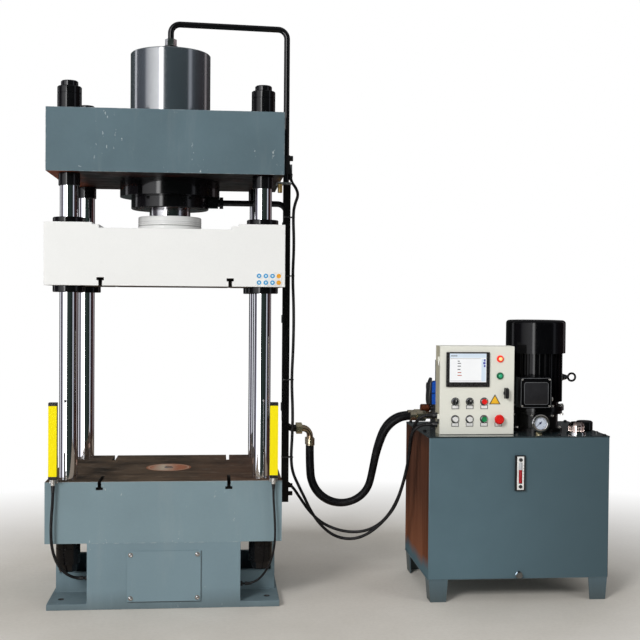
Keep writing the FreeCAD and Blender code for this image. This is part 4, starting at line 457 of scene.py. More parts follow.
# Paler than the black enamel: a painted highlight along the terminal box's rims.
painted_highlight_grey = black_gloss("painted_highlight_enamel", (0.075, 0.078, 0.082), 0.20, 0.6, 0.02, (0.18, 0.18, 0.18))
lid_black = black_gloss("lid_enamel", (0.0125, 0.0125, 0.0140), 0.24, 0.5, 0.04, (0.06, 0.06, 0.06))
tank_front = tank_paint("tank_paint", False)
tank_flank = tank_paint("tank_flank_painted_reflection", True)
chrome = chrome_rod()
ram_chrome = turned_metal("ram_chrome", (0.46, 0.46, 0.47), 0.15, (2.0, 2.0, 120.0), stain_and_reflection_share=0.25,
                          groove=0.00002)
steel = turned_metal("plated_steel", (0.72, 0.70, 0.66), 0.24, (60.0, 60.0, 60.0), metal=0.7)
bright = turned_metal("bright_plate", (0.82, 0.82, 0.83), 0.14, (40.0, 40.0, 40.0), stain_and_reflection_share=0.15)
zinc = turned_metal("zinc_sheet", (0.60, 0.62, 0.63), 0.38, (14.0, 14.0, 14.0), stain_and_reflection_share=0.2)
brass = turned_metal("brass_turned", (0.66, 0.47, 0.18), 0.26, (200.0, 3.0, 3.0), metal=0.6)
union_brass = turned_metal("union_plate", (0.66, 0.58, 0.38), 0.18, (120.0, 3.0, 3.0), metal=0.9)
# Pinkish chrome with red blots: a painted red reflection on the breather cap.
cap_chrome = turned_metal("cap_chrome", (0.54, 0.45, 0.41), 0.10, (30.0, 30.0, 3.0), (0.30, 0.05, 0.04), 0.6)
elbow_steel = turned_metal("elbow_steel", (0.50, 0.38, 0.25), 0.14, (20.0, 20.0, 20.0), (0.12, 0.06, 0.03),
                           metal=0.96)
ferrule_plate = turned_metal("ferrule_plate", (0.66, 0.58, 0.42), 0.16, (3.0, 3.0, 120.0), (0.14, 0.09, 0.04),
                             metal=0.96)
knob_rust = turned_metal("knob_bronze", (0.26, 0.085, 0.045), 0.42, (3.0, 200.0, 200.0), (0.08, 0.03, 0.02),
                         0.5)
manifold_steel = turned_metal("manifold_phosphate", (0.10, 0.10, 0.11), 0.40, (20.0, 20.0, 20.0), metal=0.7)
plug_steel = turned_metal("plug_steel", (0.36, 0.41, 0.45), 0.20, (40.0, 40.0, 40.0))
iron = turned_metal("cast_iron", (0.10, 0.10, 0.10), 0.55, (90.0, 90.0, 90.0), groove=0.0004, metal=0.6)
steel_top = table_steel()
slot_steel = turned_metal("slot_steel", (0.075, 0.068, 0.062), 0.5, (60.0, 60.0, 60.0), metal=0.6)
disc_steel = rusty_copper()
bronze = turned_metal("bush_bronze", (0.50, 0.33, 0.15), 0.3)
rubber = hose_cover()
sheath = cable_sheath()
black_plastic = moulded("black_plastic", (0.014, 0.014, 0.015), 0.34)
dark_plastic = moulded("bezel_plastic", (0.022, 0.021, 0.021), 0.26)
grey_plastic = moulded("grey_plastic", (0.16, 0.17, 0.18), 0.4)
blue_plastic = moulded("coil_blue", (0.010, 0.10, 0.55), 0.24)
white_plastic = moulded("white_plastic", (0.84, 0.84, 0.82), 0.28)
red_plastic = moulded("red_plastic", (0.78, 0.012, 0.010), 0.24)
green_plastic = moulded("green_plastic", (0.012, 0.26, 0.085), 0.26)
label_white = moulded("label_white", (0.82, 0.82, 0.80), 0.45)
label_dark = moulded("label_dark", (0.03, 0.03, 0.03), 0.5)
sign_yellow = moulded("sign_yellow", (0.92, 0.50, 0.02), 0.4)
lens_dark = moulded("lens_dark", (0.030, 0.008, 0.008), 0.10)
# The white dial is tinted blue-grey: a painted reflection in its glass.
dial_white = moulded("dial_white", (0.60, 0.66, 0.76), 0.5)
needle_blue = moulded("needle_blue", (0.012, 0.02, 0.08), 0.3)
fluid_red = moulded("fluid_red", (0.36, 0.008, 0.014), 0.15)
fluid_grey = moulded("tube_grey", (0.48, 0.50, 0.52), 0.2)
red_lamp = lamp_lens("lamp_red", (1.400, 1.010), (0.80, 0.020, 0.010), (1.0, 0.72, 0.30), 0.35)
green_lamp = lamp_lens("lamp_green", (1.400, 0.938), (0.005, 0.13, 0.055), (0.03, 0.42, 0.20), 0.10)
dot_blue = moulded("dot_blue", (0.02, 0.30, 0.62), 0.4)
dot_pale = moulded("dot_pale", (0.62, 0.78, 0.84), 0.4)
dot_orange = moulded("dot_orange", (0.80, 0.36, 0.03), 0.4)
page_white = lit_page("page_white", (0.93, 0.95, 0.97))
page_blue = lit_page("page_blue", (0.60, 0.74, 0.88))
page_violet = moulded("page_violet", (0.10, 0.11, 0.45), 0.2)
page_red = moulded("page_red", (0.55, 0.16, 0.12), 0.2)
page_grey = moulded("page_grey", (0.10, 0.11, 0.12), 0.2)


# ---------------------------------------------------------------- the CAD nodes' finishes
def dress(name, finish, *others):
    """Gives a node its finish; each other one comes with a test of a face's centre in mm and its normal."""
    mesh = nodes[name].data
    mesh.materials.clear()
    mesh.materials.append(finish)
    for other, _ in others:
        mesh.materials.append(other)
    for face in mesh.polygons:
        face.material_index = 0
        place = face.center * PER_METRE
        for index, (_, test) in enumerate(others, 1):
            if test(place, face.normal):
                face.material_index = index


def in_slot(c, level, way):
    """A face inside a T-slot that is cut into the given level."""
    slot_x, half_width, deepest = 259.0, 14.5, 33.5
    depth = (c.z - level) * way
    return abs(abs(c.x) - slot_x) < half_width and 0.05 < depth < deepest and 207.0 < abs(c.y) < 357.9


def near(c, x, z, reach):
    """A face within reach of a place on the front."""
    return math.hypot(c.x - x, c.z - z) < reach


# Places in mm that several parts share: in plan for the tank's lid, on the front face for the rest.
MOTOR_X, MOTOR_Y = 1603, -110
CAP_X, CAP_Y = 1742, -257
LID_TOP = 690
GAUGE_X, GAUGE_Z = 1567, 741
SIGN_X, SIGN_Z = 1379, 832
PLATE_DROP = 22.5
GUARD_X = 439
LAMPS = ((1400.0, 1010.0), (1400.0, 938.0))
OPERATORS = ((1209.0, 829.0), (1271.0, 829.0), (1333.0, 829.0), (1209.0, 755.0), (1271.0, 755.0),
             (1333.0, 755.0), (1395.0, 755.0))

PLAIN_NODES = {
    "base_stand": stand_paint, "columns": chrome, "column_nuts": oxide, "eye_bolt": oxide,
    "wiper_rings": oxide, "knockout_disc": disc_steel, "oil_pipes": pipe_black, "side_rail": rail_black,
    "bell_housing": rail_black, "tank_feet": foot_paint, "level_gauge": black_plastic,
    "door_latch": black_plastic, "selector_left": black_plastic, "selector_right": black_plastic,
    "drain_plug": plug_steel, "motor_body": motor_paint, "motor_cowl": motor_paint,
    "terminal_box": motor_paint, "pump": iron, "valve_manifold": manifold_steel, "relief_knob": knob_rust,
    "gauge_needle": needle_blue, "control_door": cream_paint, "touch_panel": dark_plastic,
    "red_button": red_plastic, "emergency_stop": red_plastic, "green_button": green_plastic,
    "white_button_left": white_plastic, "white_button_right": white_plastic, "filler_cap": cap_chrome,
    "guide_bushes": bronze, "ram": ram_chrome, "piston": ram_chrome,
}
for node_name, finish in PLAIN_NODES.items():
    dress(node_name, finish)
dress("crown", crown_paint, (primer, lambda c, n: n.z < -0.9 and c.z < 1760.0))
dress("table_body", table_paint,
      (steel_top, lambda c, n: n.z > 0.9 and c.z > 515.0),
      (slot_steel, lambda c, n: in_slot(c, 516.0, -1.0) or (math.hypot(c.x, c.y) < 98.5 and c.z > 490.0)))
dress("base_cover", cover_paint, (bright, lambda c, n: c.y < -361.05))
dress("cylinder_barrel", barrel_paint, (oxide, lambda c, n: c.z < 1759.6))
dress("cylinder_gland", oxide, (brown_black, lambda c, n: n.z < -0.9 and c.z < 1640.0))
dress("port_fittings", oxide, (bright, lambda c, n: c.z > 2343.5 and math.hypot(c.x, c.y) > 14.0))
dress("rail_clamps", rail_black, (zinc, lambda c, n: c.z > 1750.5 and c.x > 450.0))
dress("limit_switches", black_plastic, (brass, lambda c, n: c.x < 490.0),
      (grey_plastic, lambda c, n: c.x > 522.0 and c.z < 1851.0))
dress("light_curtain_posts", yellow_paint,
      (lens_dark, lambda c, n: abs(c.x) < 426.8 and abs(c.y + 378.5) < 8.4))
dress("light_curtain_fittings", black_plastic, (steel, lambda c, n: 504.0 < c.z < 531.9 and c.y < -365.0),
      (zinc, lambda c, n: c.y > -362.1 and c.z > 515.5))
dress("hose_fittings", ferrule_plate, (union_brass, lambda c, n: c.x < 584.1 and c.z > 660.0),
      (elbow_steel, lambda c, n: 584.1 <= c.x < 634.0 and c.z > 641.0),
      (union_brass, lambda c, n: c.x > 1112.2))
dress("tank_body", tank_front, (tank_flank, lambda c, n: n.x < -0.9 and c.x < 1086.0))
dress("tank_lid", lid_paint,
      (bright, lambda c, n: c.z > LID_TOP + 0.2 and math.hypot(c.x - CAP_X, c.y - CAP_Y) < 42.0),
      (oxide, lambda c, n: c.z > LID_TOP + 0.2 and math.hypot(c.x - 1815.0, c.y + 150.0) < 37.0))
dress("motor_rotor", steel, (black_plastic, lambda c, n: c.z > 1060.0))
dress("solenoid_valves", blue_plastic,
      (black_plastic, lambda c, n: c.x < 1141.5 or c.z > 901.0))
dress("pressure_gauge", bright,
      (dial_white, lambda c, n: n.y < -0.9 and near(c, GAUGE_X, GAUGE_Z, 26.9) and -309.5 < c.y < -308.5),
      (oxide, lambda c, n: c.y > -299.0 and c.z > 704.0),
      (union_brass, lambda c, n: c.z <= 704.0))
dress("control_cabinet", cream_paint, (cabinet_side_shade, lambda c, n: n.x < -0.9 and c.x < 1150.0),
      (black_plastic, lambda c, n: c.x < 1142.5 and c.z < 790.0),
      (steel, lambda c, n: c.x < 1142.9 and c.z >= 790.0))
dress("control_plate", zinc, (grey_plastic, lambda c, n: c.y < -190.9))
dress("door_fittings", bright,
      (black_plastic, lambda c, n: c.y > -275.9),
      (label_white, lambda c, n: c.y > -277.1
       and any(abs(c.x - x) < 13.6 and abs(c.z - z + PLATE_DROP) < 6.6 for x, z in OPERATORS)),
      (sign_yellow, lambda c, n: abs(c.x - SIGN_X) < 24.5 and abs(c.z - SIGN_Z) < 29.0 and c.y > -277.1),
      (red_lamp, lambda c, n: near(c, *LAMPS[0], 15.5) and c.y < -275.9),
      (green_lamp, lambda c, n: near(c, *LAMPS[1], 15.5) and c.y < -275.9))
dress("slide_plate", slide_paint,
      (slot_steel, lambda c, n: in_slot(c, 1304.0, 1.0)),
      (steel_top, lambda c, n: n.z < -0.9 and c.z < 1304.5))
dress("ram_flange", slide_paint,
      (oxide, lambda c, n: abs(math.hypot(c.x, c.y) - 116.0) < 9.2 and c.z > 1590.0))


# ---------------------------------------------------------------- hoses and cables
def cord_curve(name, route, dia, finish):
    """Round hose or cable: one smooth spline whose control points are the route."""
    curve = bpy.data.curves.new(name, "CURVE")
    curve.dimensions = "3D"
    curve.resolution_u = 10
    curve.bevel_depth = dia / 2
    curve.bevel_resolution = 6
    curve.use_fill_caps = True
    spline = curve.splines.new("NURBS")
    spline.points.add(len(route) - 1)
    for point, place in zip(spline.points, route):
        point.co = (*place, 1.0)
    spline.order_u = 3
    spline.use_endpoint_u = True
    curve.materials.append(finish)
    cord = bpy.data.objects.new(name, curve)
    bpy.context.scene.collection.objects.link(cord)
    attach(cord, "frame")
    return cord


# The routes are in millimetres, as in the CAD.
ROUTES = {
    "rod_hose": [
        (620, 0, 637), (620, 0, 575), (622, -4, 513), (626, -10, 454), (657, -18, 399), (710, -27, 364),
        (773, -36, 357), (832, -46, 380), (874, -56, 428), (889, -67, 503), (901, -79, 572),
        (917, -91, 633), (939, -103, 691), (975, -115, 730), (1021, -122, 752), (1072, -122, 752)],
    "head_hose": [
        (620, 40, 637), (620, 40, 575), (621, 36, 513), (625, 30, 450), (655, 23, 392), (709, 16, 354),
        (775, 8, 347), (837, 0, 371), (881, -8, 420), (897, -16, 500), (908, -25, 572), (922, -34, 633),
        (943, -43, 691), (976, -54, 730), (1021, -62, 752), (1072, -62, 752)],
    "rail_cable": [
        (527, 40, 1808), (527, 40, 1779), (552, 34, 1747), (560, 12, 1713), (545, -12, 1678),
        (534, -31, 1630), (540, -31, 1490), (534, -31, 1354), (541, -31, 1210), (540, -31, 1050),
        (533, -31, 900), (540, -31, 760), (538, -31, 650), (533, -31, 560), (540, -31, 495),
        (568, -30, 435), (598, -26, 375), (625, -22, 318), (664, -24, 262), (716, -32, 217),
        (775, -42, 199), (835, -56, 206), (892, -72, 240), (944, -90, 293), (987, -108, 356),
        (1014, -130, 450), (1030, -152, 540), (1034, -176, 618), (1034, -201, 674), (1048, -219, 708),
        (1081, -224, 728), (1121, -224, 728)],
    "control_cable": [
        (475, 88, 440), (512, 88, 440), (549, 80, 412), (583, 66, 362), (622, 48, 306), (676, 24, 258),
        (740, 2, 232), (806, -16, 223), (868, -34, 232), (925, -52, 264), (968, -68, 316),
        (1000, -84, 382), (1020, -98, 452), (1034, -112, 524), (1044, -126, 596), (1047, -150, 664),
        (1050, -184, 713), (1062, -212, 748), (1088, -224, 766), (1121, -224, 766)],
    "left_guard_cable": [
        (-439, -378.5, 505), (-439, -378.5, 450), (-444, -381, 385), (-446, -382, 320), (-443, -380, 262),
        (-430, -372, 208), (-410, -355, 166), (-384, -331, 134), (-355, -312, 118), (-318, -312, 118)],
    "right_guard_cable": [
        (439, -378.5, 505), (439, -378.5, 450), (444, -381, 385), (447, -382, 320), (446, -381, 262),
        (437, -374, 208), (420, -360, 160), (396, -338, 119), (362, -312, 84), (318, -312, 84)],
}
# Diameter and length in metres, stiffness and finish of each cord.
CORDS = {
    "rod_hose": (0.033, 0.928, "stiff", rubber), "head_hose": (0.033, 0.946, "stiff", rubber),
    "rail_cable": (0.013, 2.472, "medium", sheath), "control_cable": (0.013, 1.172, "medium", sheath),
    "left_guard_cable": (0.012, 0.469, "medium", sheath),
    "right_guard_cable": (0.009, 0.499, "medium", sheath),
}
for cord_name, (dia, length, stiffness, finish) in CORDS.items():
    route = [tuple(value / PER_METRE for value in point) for point in ROUTES[cord_name]]
    line = cord_curve(cord_name + "_line", route, dia, finish)
    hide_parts(cord_name)


# ---------------------------------------------------------------- mesh helpers
def link_piece(name, bm, finishes, body="frame"):
    """Scales a finished mesh to metres and links it as a piece that rides on a body."""
    bmesh.ops.recalc_face_normals(bm, faces=bm.faces)
    bmesh.ops.scale(bm, vec=(MM, MM, MM), verts=bm.verts)
    mesh = bpy.data.meshes.new(name)
    bm.to_mesh(mesh)
    bm.free()
    mesh.shade_smooth()
    mesh.set_sharp_from_angle(angle=SHARP_ANGLE)
    for finish in finishes:
        mesh.materials.append(finish)
    made = bpy.data.objects.new(name, mesh)
    bpy.context.scene.collection.objects.link(made)
    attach(made, body)


def towards(axis):
    """Turn that lays the Z axis along the given one."""
    return Vector((0.0, 0.0, 1.0)).rotation_difference(Vector(axis)).to_matrix().to_4x4()


def add_box(bm, low, high, round_mm=0.4, index=0):
    """Box between two corners with softened edges."""
    low = Vector(low)
    high = Vector(high)
    place = Matrix.Translation((low + high) / 2) @ Matrix.Diagonal((*(high - low), 1.0))
    made = bmesh.ops.create_cube(bm, size=1.0, matrix=place)
    edges = list({edge for vert in made["verts"] for edge in vert.link_edges})
    faces = list({face for vert in made["verts"] for face in vert.link_faces})
    for face in faces:
        face.material_index = index
    if round_mm:
        bmesh.ops.bevel(bm, geom=edges, offset=round_mm, segments=2, profile=0.6, affect="EDGES",
                        material=index)


def add_circle(bm, turn, radius, height, count):
    """Corners of a level circle, carried to their place by a matrix."""
    angles = [2 * math.pi * k / count for k in range(count)]
    return [bm.verts.new(turn @ Vector((radius * math.cos(angle), radius * math.sin(angle), height)))
            for angle in angles]


def add_hoop(bm, centre, radius, first, second, count):
    """Corners of a circle in the plane of two directions."""
    angles = [2 * math.pi * k / count for k in range(count)]
    return [bm.verts.new(centre + radius * (math.cos(angle) * first + math.sin(angle) * second))
            for angle in angles]


def bridge(bm, rings, index=0, closed=False):
    """Faces from each ring of corners to the next, and from the last to the first if closed."""
    following = rings[1:] + (rings[:1] if closed else [])
    for low, high in zip(rings, following):
        for k in range(len(low)):
            ahead = (k + 1) % len(low)
            bm.faces.new((low[k], low[ahead], high[ahead], high[k])).material_index = index


def add_turned(bm, profile, place, axis=UP, count=32, index=0):
    """Turned piece from (radius, height) pairs about an axis; a radius of 0 is a point."""
    turn = Matrix.Translation(place) @ towards(axis)
    rings = [add_circle(bm, turn, radius, height, count if radius else 1) for radius, height in profile]
    for low, high in zip(rings, rings[1:]):
        if len(low) == len(high):
            bridge(bm, [low, high], index)
            continue
        for k in range(count):
            ahead = (k + 1) % count
            corners = (low[0], high[ahead], high[k]) if len(low) == 1 else (low[k], low[ahead], high[0])
            bm.faces.new(corners).material_index = index


def add_disc(bm, radius, height, place, axis, count, index):
    """Plain round disc or bar."""
    add_turned(bm, [(0.0, 0.0), (radius, 0.0), (radius, height), (0.0, height)], place, axis, count, index)


def add_bolt(bm, across, height, place, axis=UP, index=0, turn_deg=0.0):
    """Hexagon bolt head with its washer face and chamfered top."""
    turn = Matrix.Translation(place) @ towards(axis) @ Matrix.Rotation(math.radians(turn_deg), 4, "Z")
    washer_top = height * 0.18
    add_disc(bm, across * 0.62, washer_top, place, axis, 24, index)
    corner = across / math.sqrt(3)
    levels = ((corner, washer_top), (corner, height * 0.86), (corner * 0.86, height))
    rings = [add_circle(bm, turn, radius, level, 6) for radius, level in levels]
    bridge(bm, rings, index)
    bm.faces.new(rings[-1]).material_index = index


def add_cap_screw(bm, dia, height, place, axis, index=0):
    """Round screw head with a hexagon socket."""
    radius = dia / 2
    socket = radius * 0.48
    add_turned(bm, [(0.0, 0.0), (radius, 0.0), (radius, height * 0.55), (radius * 0.8, height * 0.92),
                    (radius * 0.6, height), (socket, height), (socket, height * 0.45), (0.0, height * 0.35)],
               place, axis, 24, index)


def add_frame_line(bm, x0, x1, z0, z1, y, corner, radius):
    """Round bar bent into a rectangle with rounded corners, flat against a face that looks along Y."""
    rings = []
    for x, z, start in ((x1 - corner, z1 - corner, 0), (x0 + corner, z1 - corner, 90),
                        (x0 + corner, z0 + corner, 180), (x1 - corner, z0 + corner, 270)):
        for step in range(5):
            angle = math.radians(start + 22.5 * step)
            centre = Vector((x + corner * math.cos(angle), y, z + corner * math.sin(angle)))
            outwards = Vector((math.cos(angle), 0.0, math.sin(angle)))
            rings.append(add_hoop(bm, centre, radius, outwards, Vector(BACK), 6))
    bridge(bm, rings, closed=True)


def around(x, y, radius, angle_deg):
    """Place on a circle about a centre, seen in plan."""
    angle = math.radians(angle_deg)
    return x + radius * math.cos(angle), y + radius * math.sin(angle)


def add_bead(bm, start, end, radius):
    """Weld bead: a low bar with overlapping ripples and an uneven toe."""
    start = Vector(start)
    end = Vector(end)
    way = (end - start).normalized()
    length = (end - start).length
    side = way.orthogonal().normalized()
    other = way.cross(side)
    steps = max(4, int(length / (radius * 0.75)))
    rings = []
    for step in range(steps + 1):
        along = length * step / steps
        swell = radius * (0.86 + 0.16 * (step % 2) + rng.uniform(-0.07, 0.07))
        if step in (0, steps):
            swell *= 0.55
        shift = side * rng.uniform(-0.08, 0.08) * radius
        rings.append(add_hoop(bm, start + way * along + shift, swell, side, other, 8))
    bridge(bm, rings)
    bm.faces.new(rings[0])
    bm.faces.new(rings[-1])


# ---------------------------------------------------------------- press frame details
def make_frame_welds():
    """Beads where the feet, legs and bridges of the stand are welded up."""
    foot_top, bridge_top, leg_top = 25, 104, 267
    bm = bmesh.new()
    for side in (-1, 1):
        inner, end_of_bridge, outer = side * 309, side * 440, side * 457
        for end in (-1, 1):
            y = end * 178.5
            add_bead(bm, (inner, y, foot_top), (end_of_bridge, y, foot_top), 3.6)
            add_bead(bm, (inner, y, bridge_top), (end_of_bridge, y, bridge_top), 2.4)
        add_bead(bm, (inner, -352, foot_top), (inner, -182, foot_top), 3.6)
        add_bead(bm, (inner, 182, foot_top), (inner, 352, foot_top), 3.6)
        add_bead(bm, (outer, -174, foot_top), (outer, 174, foot_top), 3.6)
        add_bead(bm, (inner, -350, leg_top), (inner, 350, leg_top), 3.0)
        add_bead(bm, (outer, -174, leg_top), (outer, 174, leg_top), 3.0)
    link_piece("stand_welds", bm, [stand_paint])
    bm = bmesh.new()
    for side in (-1, 1):
        x = side * 475.2
        for y in (-333, 333):
            add_bead(bm, (x, y, 1764), (x, y, 2008), 2.2)
        for z in (1799, 1973):
            add_bead(bm, (x, -350, z), (x, 350, z), 2.0)
    link_piece("crown_welds", bm, [crown_paint])


def make_cover_screws():
    """Socket screws of the stand's cover plate, painted shadow along its right and lower edges and painted
    shade in the feet's holes.
    """
    bm = bmesh.new()
    for x in (-134, 134):
        for z in (44, 220):
            add_cap_screw(bm, 13.0, 5.0, (x, -364.6, z), FRONT)
            add_turned(bm, [(6.0, 0.0), (9.5, 0.0), (9.5, 1.2), (6.0, 1.4)], (x, -361.0, z), FRONT)
    link_piece("cover_screws", bm, [bright])
    low, high = ([value / MM for value in corner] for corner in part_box("base_cover"))
    bm = bmesh.new()
    y0, y1 = -361.6, -360.2
    # Painted shadow: dark strips along the cover plate's right and lower edges.
    add_box(bm, (high[0] - 0.4, y0, low[2] - 1.6), (high[0] + 1.4, y1, high[2]), 0.2)
    add_box(bm, (low[0] + 2.0, y0, low[2] - 1.6), (high[0] + 1.4, y1, low[2] + 0.2), 0.2)
    # Dark cups in the feet's holes: painted shade.
    hole = [(0.0, 6.0), (10.5, 6.0), (11.0, 24.0), (12.6, 25.2), (11.6, 25.4), (9.8, 23.0), (9.8, 7.0),
            (0.0, 7.0)]
    for x in (-419, 419):
        for y in (-285, 285):
            add_turned(bm, hole, (x, y, 0), UP, 28)
    link_piece("stand_shadows", bm, [label_dark])


def make_cable_ties():
    """Ties that hold the cable to the rail, each with its ratchet block."""
    x0, x1, y0, y1 = 490.6, 542.0, -43.2, -18.8
    bm = bmesh.new()
    for z in (560.0, 900.0, 1354.0, 1610.0):
        for low, high in (((x0, y0, z), (x1, y0 + 1.2, z + 5)), ((x0, y1 - 1.2, z), (x1, y1, z + 5)),
                          ((x0, y0, z), (x0 + 1.2, y1, z + 5)), ((x1 - 1.2, y0, z), (x1, y1, z + 5))):
            add_box(bm, low, high, 0.3)
        add_box(bm, (528, y0 - 4.5, z - 1.0), (536, y0 + 0.5, z + 6.0), 0.8)
        add_box(bm, (531, y0 - 13.0, z + 1.4), (534.5, y0 - 4.0, z + 2.8), 0.3)
    link_piece("cable_ties", bm, [black_plastic])


def make_boots():
    """Ribbed strain reliefs at the cables' ends."""
    ribs = 6
    bm = bmesh.new()
    ends = [((527, 40, 1810), DOWN, 6.5, 9.5), ((474.5, 88, 440), RIGHT, 6.5, 11.0),
            ((-GUARD_X, -378.5, 506), DOWN, 6.0, 8.4), ((GUARD_X, -378.5, 506), DOWN, 4.5, 8.0),
            ((-328, -312, 118), LEFT, 6.0, 9.0), ((328, -312, 84), RIGHT, 4.5, 8.4),
            ((1121.5, -224, 728), LEFT, 6.5, 10.5), ((1121.5, -224, 766), LEFT, 6.5, 10.5)]
    for place, axis, cable, foot in ends:
        profile = [(cable * 0.9, 0.0), (foot, 0.0)]
        for rib in range(ribs):
            outer = foot - (foot - cable - 0.8) * rib / ribs
            base = 3.0 + rib * 4.0
            profile += [(outer, base), (outer - 0.9, base + 0.4), (outer - 0.9, base + 1.8),
                        (outer - 0.2, base + 2.2)]
        profile += [(cable + 0.6, 3.0 + ribs * 4.0), (cable * 0.9, 3.6 + ribs * 4.0)]
        add_turned(bm, profile, place, axis, 20)
    link_piece("cable_boots", bm, [black_plastic])


def make_flange_joint():
    """Open joint and turning marks round the ram's white flange."""
    bm = bmesh.new()
    for low, high, radius in ((1564.0, 1565.2, 136.25), (1581.0, 1581.5, 136.15), (1573.5, 1573.9, 136.15)):
        add_turned(bm, [(135.0, low), (radius, low), (radius, high), (135.0, high)], (0, 0, 0), UP, 96)
    link_piece("flange_joint", bm, [label_dark], "slide")


def make_port_bolts():
    """Screws and washers round the port flange on the cylinder's head."""
    flange_top, washer = 2308.0, 1.6
    bm = bmesh.new()
    for k in range(6):
        x, y = around(0.0, 0.0, 46.5, 20 + 60 * k)
        add_disc(bm, 8.6, washer, (x, y, flange_top), UP, 20, 1)
        add_cap_screw(bm, 12.5, 9.0, (x, y, flange_top + washer), UP, 0)
    link_piece("port_bolts", bm, [oxide, bright])


def make_disc_hub():
    """Raised collar round the knock-out disc's lifting hole, bright inside and blacked round its foot."""
    place = (0, 0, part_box("knockout_disc")[1][2] / MM)
    bm = bmesh.new()
    add_turned(bm, [(12.1, 0.0), (19.0, 0.0), (18.4, 0.7), (16.6, 0.9), (12.1, 0.9)], place, UP, 40, 0)
    add_turned(bm, [(12.1, 0.8), (16.4, 0.8), (15.4, 2.2), (12.6, 2.2)], place, UP, 40, 1)
    link_piece("disc_hub", bm, [oxide, bright])


def make_slide_dots():
    """Plain sticker with two rows of dots at the slide's right end, the last of each row without a ring."""
    ringed, plain = (375.5, 403.0, 430.0), 455.4
    rows = (1349.0, 1322.0)
    bm = bmesh.new()
    add_box(bm, (362, -358.5, 1308), (469, -358.0, 1363), 0.15, 0)
    for x in ringed:
        for z in rows:
            add_disc(bm, 9.2, 0.5, (x, -358.4, z), FRONT, 28, 1)
            add_disc(bm, 4.2, 0.3, (x, -358.8, z), FRONT, 20, 2)
    for z in rows:
        add_disc(bm, 9.2, 0.5, (plain, -358.4, z), FRONT, 28, 3)
    link_piece("slide_dots", bm, [label_white, dot_blue, dot_pale, dot_orange], "slide")


def make_guard_details():
    """Lens strips in the posts' grooves and the screws of their brackets."""
    bm = bmesh.new()
    for side in (-1, 1):
        faces = sorted((side * 426.6, side * 425.2))
        add_box(bm, (faces[0], -385.5, 548), (faces[1], -371.5, 821), 0.4, 0)
        for z in (575, 605):
            add_cap_screw(bm, 8.0, 4.0, (side * GUARD_X, -357.9, z), BACK, 1)
        for z in (539, 831):
            for y in (-388, -369):
                add_cap_screw(bm, 4.0, 1.2, (side * (GUARD_X - 16.5), y, z), (-side, 0, 0), 1)
    link_piece("guard_details", bm, [lens_dark, steel])


# ---------------------------------------------------------------- power unit details
def make_tank_details():
    """Lid screws, seam beads and the bolts of the pump's bell housing and motor flange."""
    lid_bolt = 13.0
    housing_foot, flange_top, flange_bottom = 704, 800, 766
    bm = bmesh.new()
    for x in (1103, 1283, 1463, 1643, 1839):
        for y in (-330, 179):
            if not (x < 1500 and y < -186):  # this corner is kept free for the cabinet and its door
                add_bolt(bm, lid_bolt, 6.5, (x, y, LID_TOP), index=1, turn_deg=rng.uniform(0, 60))
    for x, y in ((1103, -160), (1103, 10), (1839, -235), (1839, 10)):
        add_bolt(bm, lid_bolt, 6.5, (x, y, LID_TOP), index=1, turn_deg=rng.uniform(0, 60))
    for k in range(6):
        x, y = around(MOTOR_X, MOTOR_Y, 109, 30 + 60 * k)
        add_bolt(bm, 13.0, 7.5, (x, y, housing_foot), turn_deg=12 * k)
    for k in range(8):
        x, y = around(MOTOR_X, MOTOR_Y, 116, 22.5 + 45 * k)
        add_bolt(bm, 13.0, 8.0, (x, y, flange_top), turn_deg=9 * k)
        add_bolt(bm, 13.0, 8.0, (x, y, flange_bottom), DOWN, turn_deg=7 * k)
    link_piece("unit_bolts", bm, [steel, oxide])
    seam_z, radius = 94.5, 1.6
    bm = bmesh.new()
    add_bead(bm, (1089, -346.2, seam_z), (1853, -346.2, seam_z), radius)
    for x in (1084.8, 1855.4):
        add_bead(bm, (x, -342, seam_z), (x, 191, seam_z), radius)
    add_bead(bm, (1089, 195.2, seam_z), (1853, 195.2, seam_z), radius)
    link_piece("tank_seams", bm, [foot_paint])


def make_terminal_details():
    """Screws, cable gland and rims of the motor's terminal box, the rims paler as a painted highlight, and
    the collar of the eye bolt.
    """
    bm = bmesh.new()
    for x in (1491, 1609):
        for z in (812, 924):
            add_cap_screw(bm, 8.5, 3.4, (x, -299.3, z), FRONT)
    add_bolt(bm, 24.0, 9.0, (1617, -262, 838), RIGHT)
    gland = [(10.5, 0.0), (10.5, 6.0), (8.5, 9.0), (6.5, 9.0), (6.5, 0.0)]
    add_turned(bm, gland, (1625, -262, 838), RIGHT)
    link_piece("terminal_screws", bm, [steel])
    bm = bmesh.new()
    add_frame_line(bm, 1485.5, 1614.5, 806.5, 929.5, -300.0, 9.0, 1.2)
    add_frame_line(bm, 1499.0, 1602.0, 819.0, 912.0, -302.4, 8.0, 1.4)
    add_box(bm, (1500.5, -302.9, 820.5), (1600.5, -300.5, 910.5), 0.5, 1)
    link_piece("terminal_rims", bm, [painted_highlight_grey, lid_black])
    collar = [(4.0, 0.0), (17.0, 0.0), (16.5, 8.0), (13.5, 14.0), (11.5, 22.0), (8.5, 30.0), (4.0, 31.0)]
    bm = bmesh.new()
    add_turned(bm, collar, (1717.0, MOTOR_Y, 921.0), RIGHT, 28)
    link_piece("eye_collar", bm, [oxide])


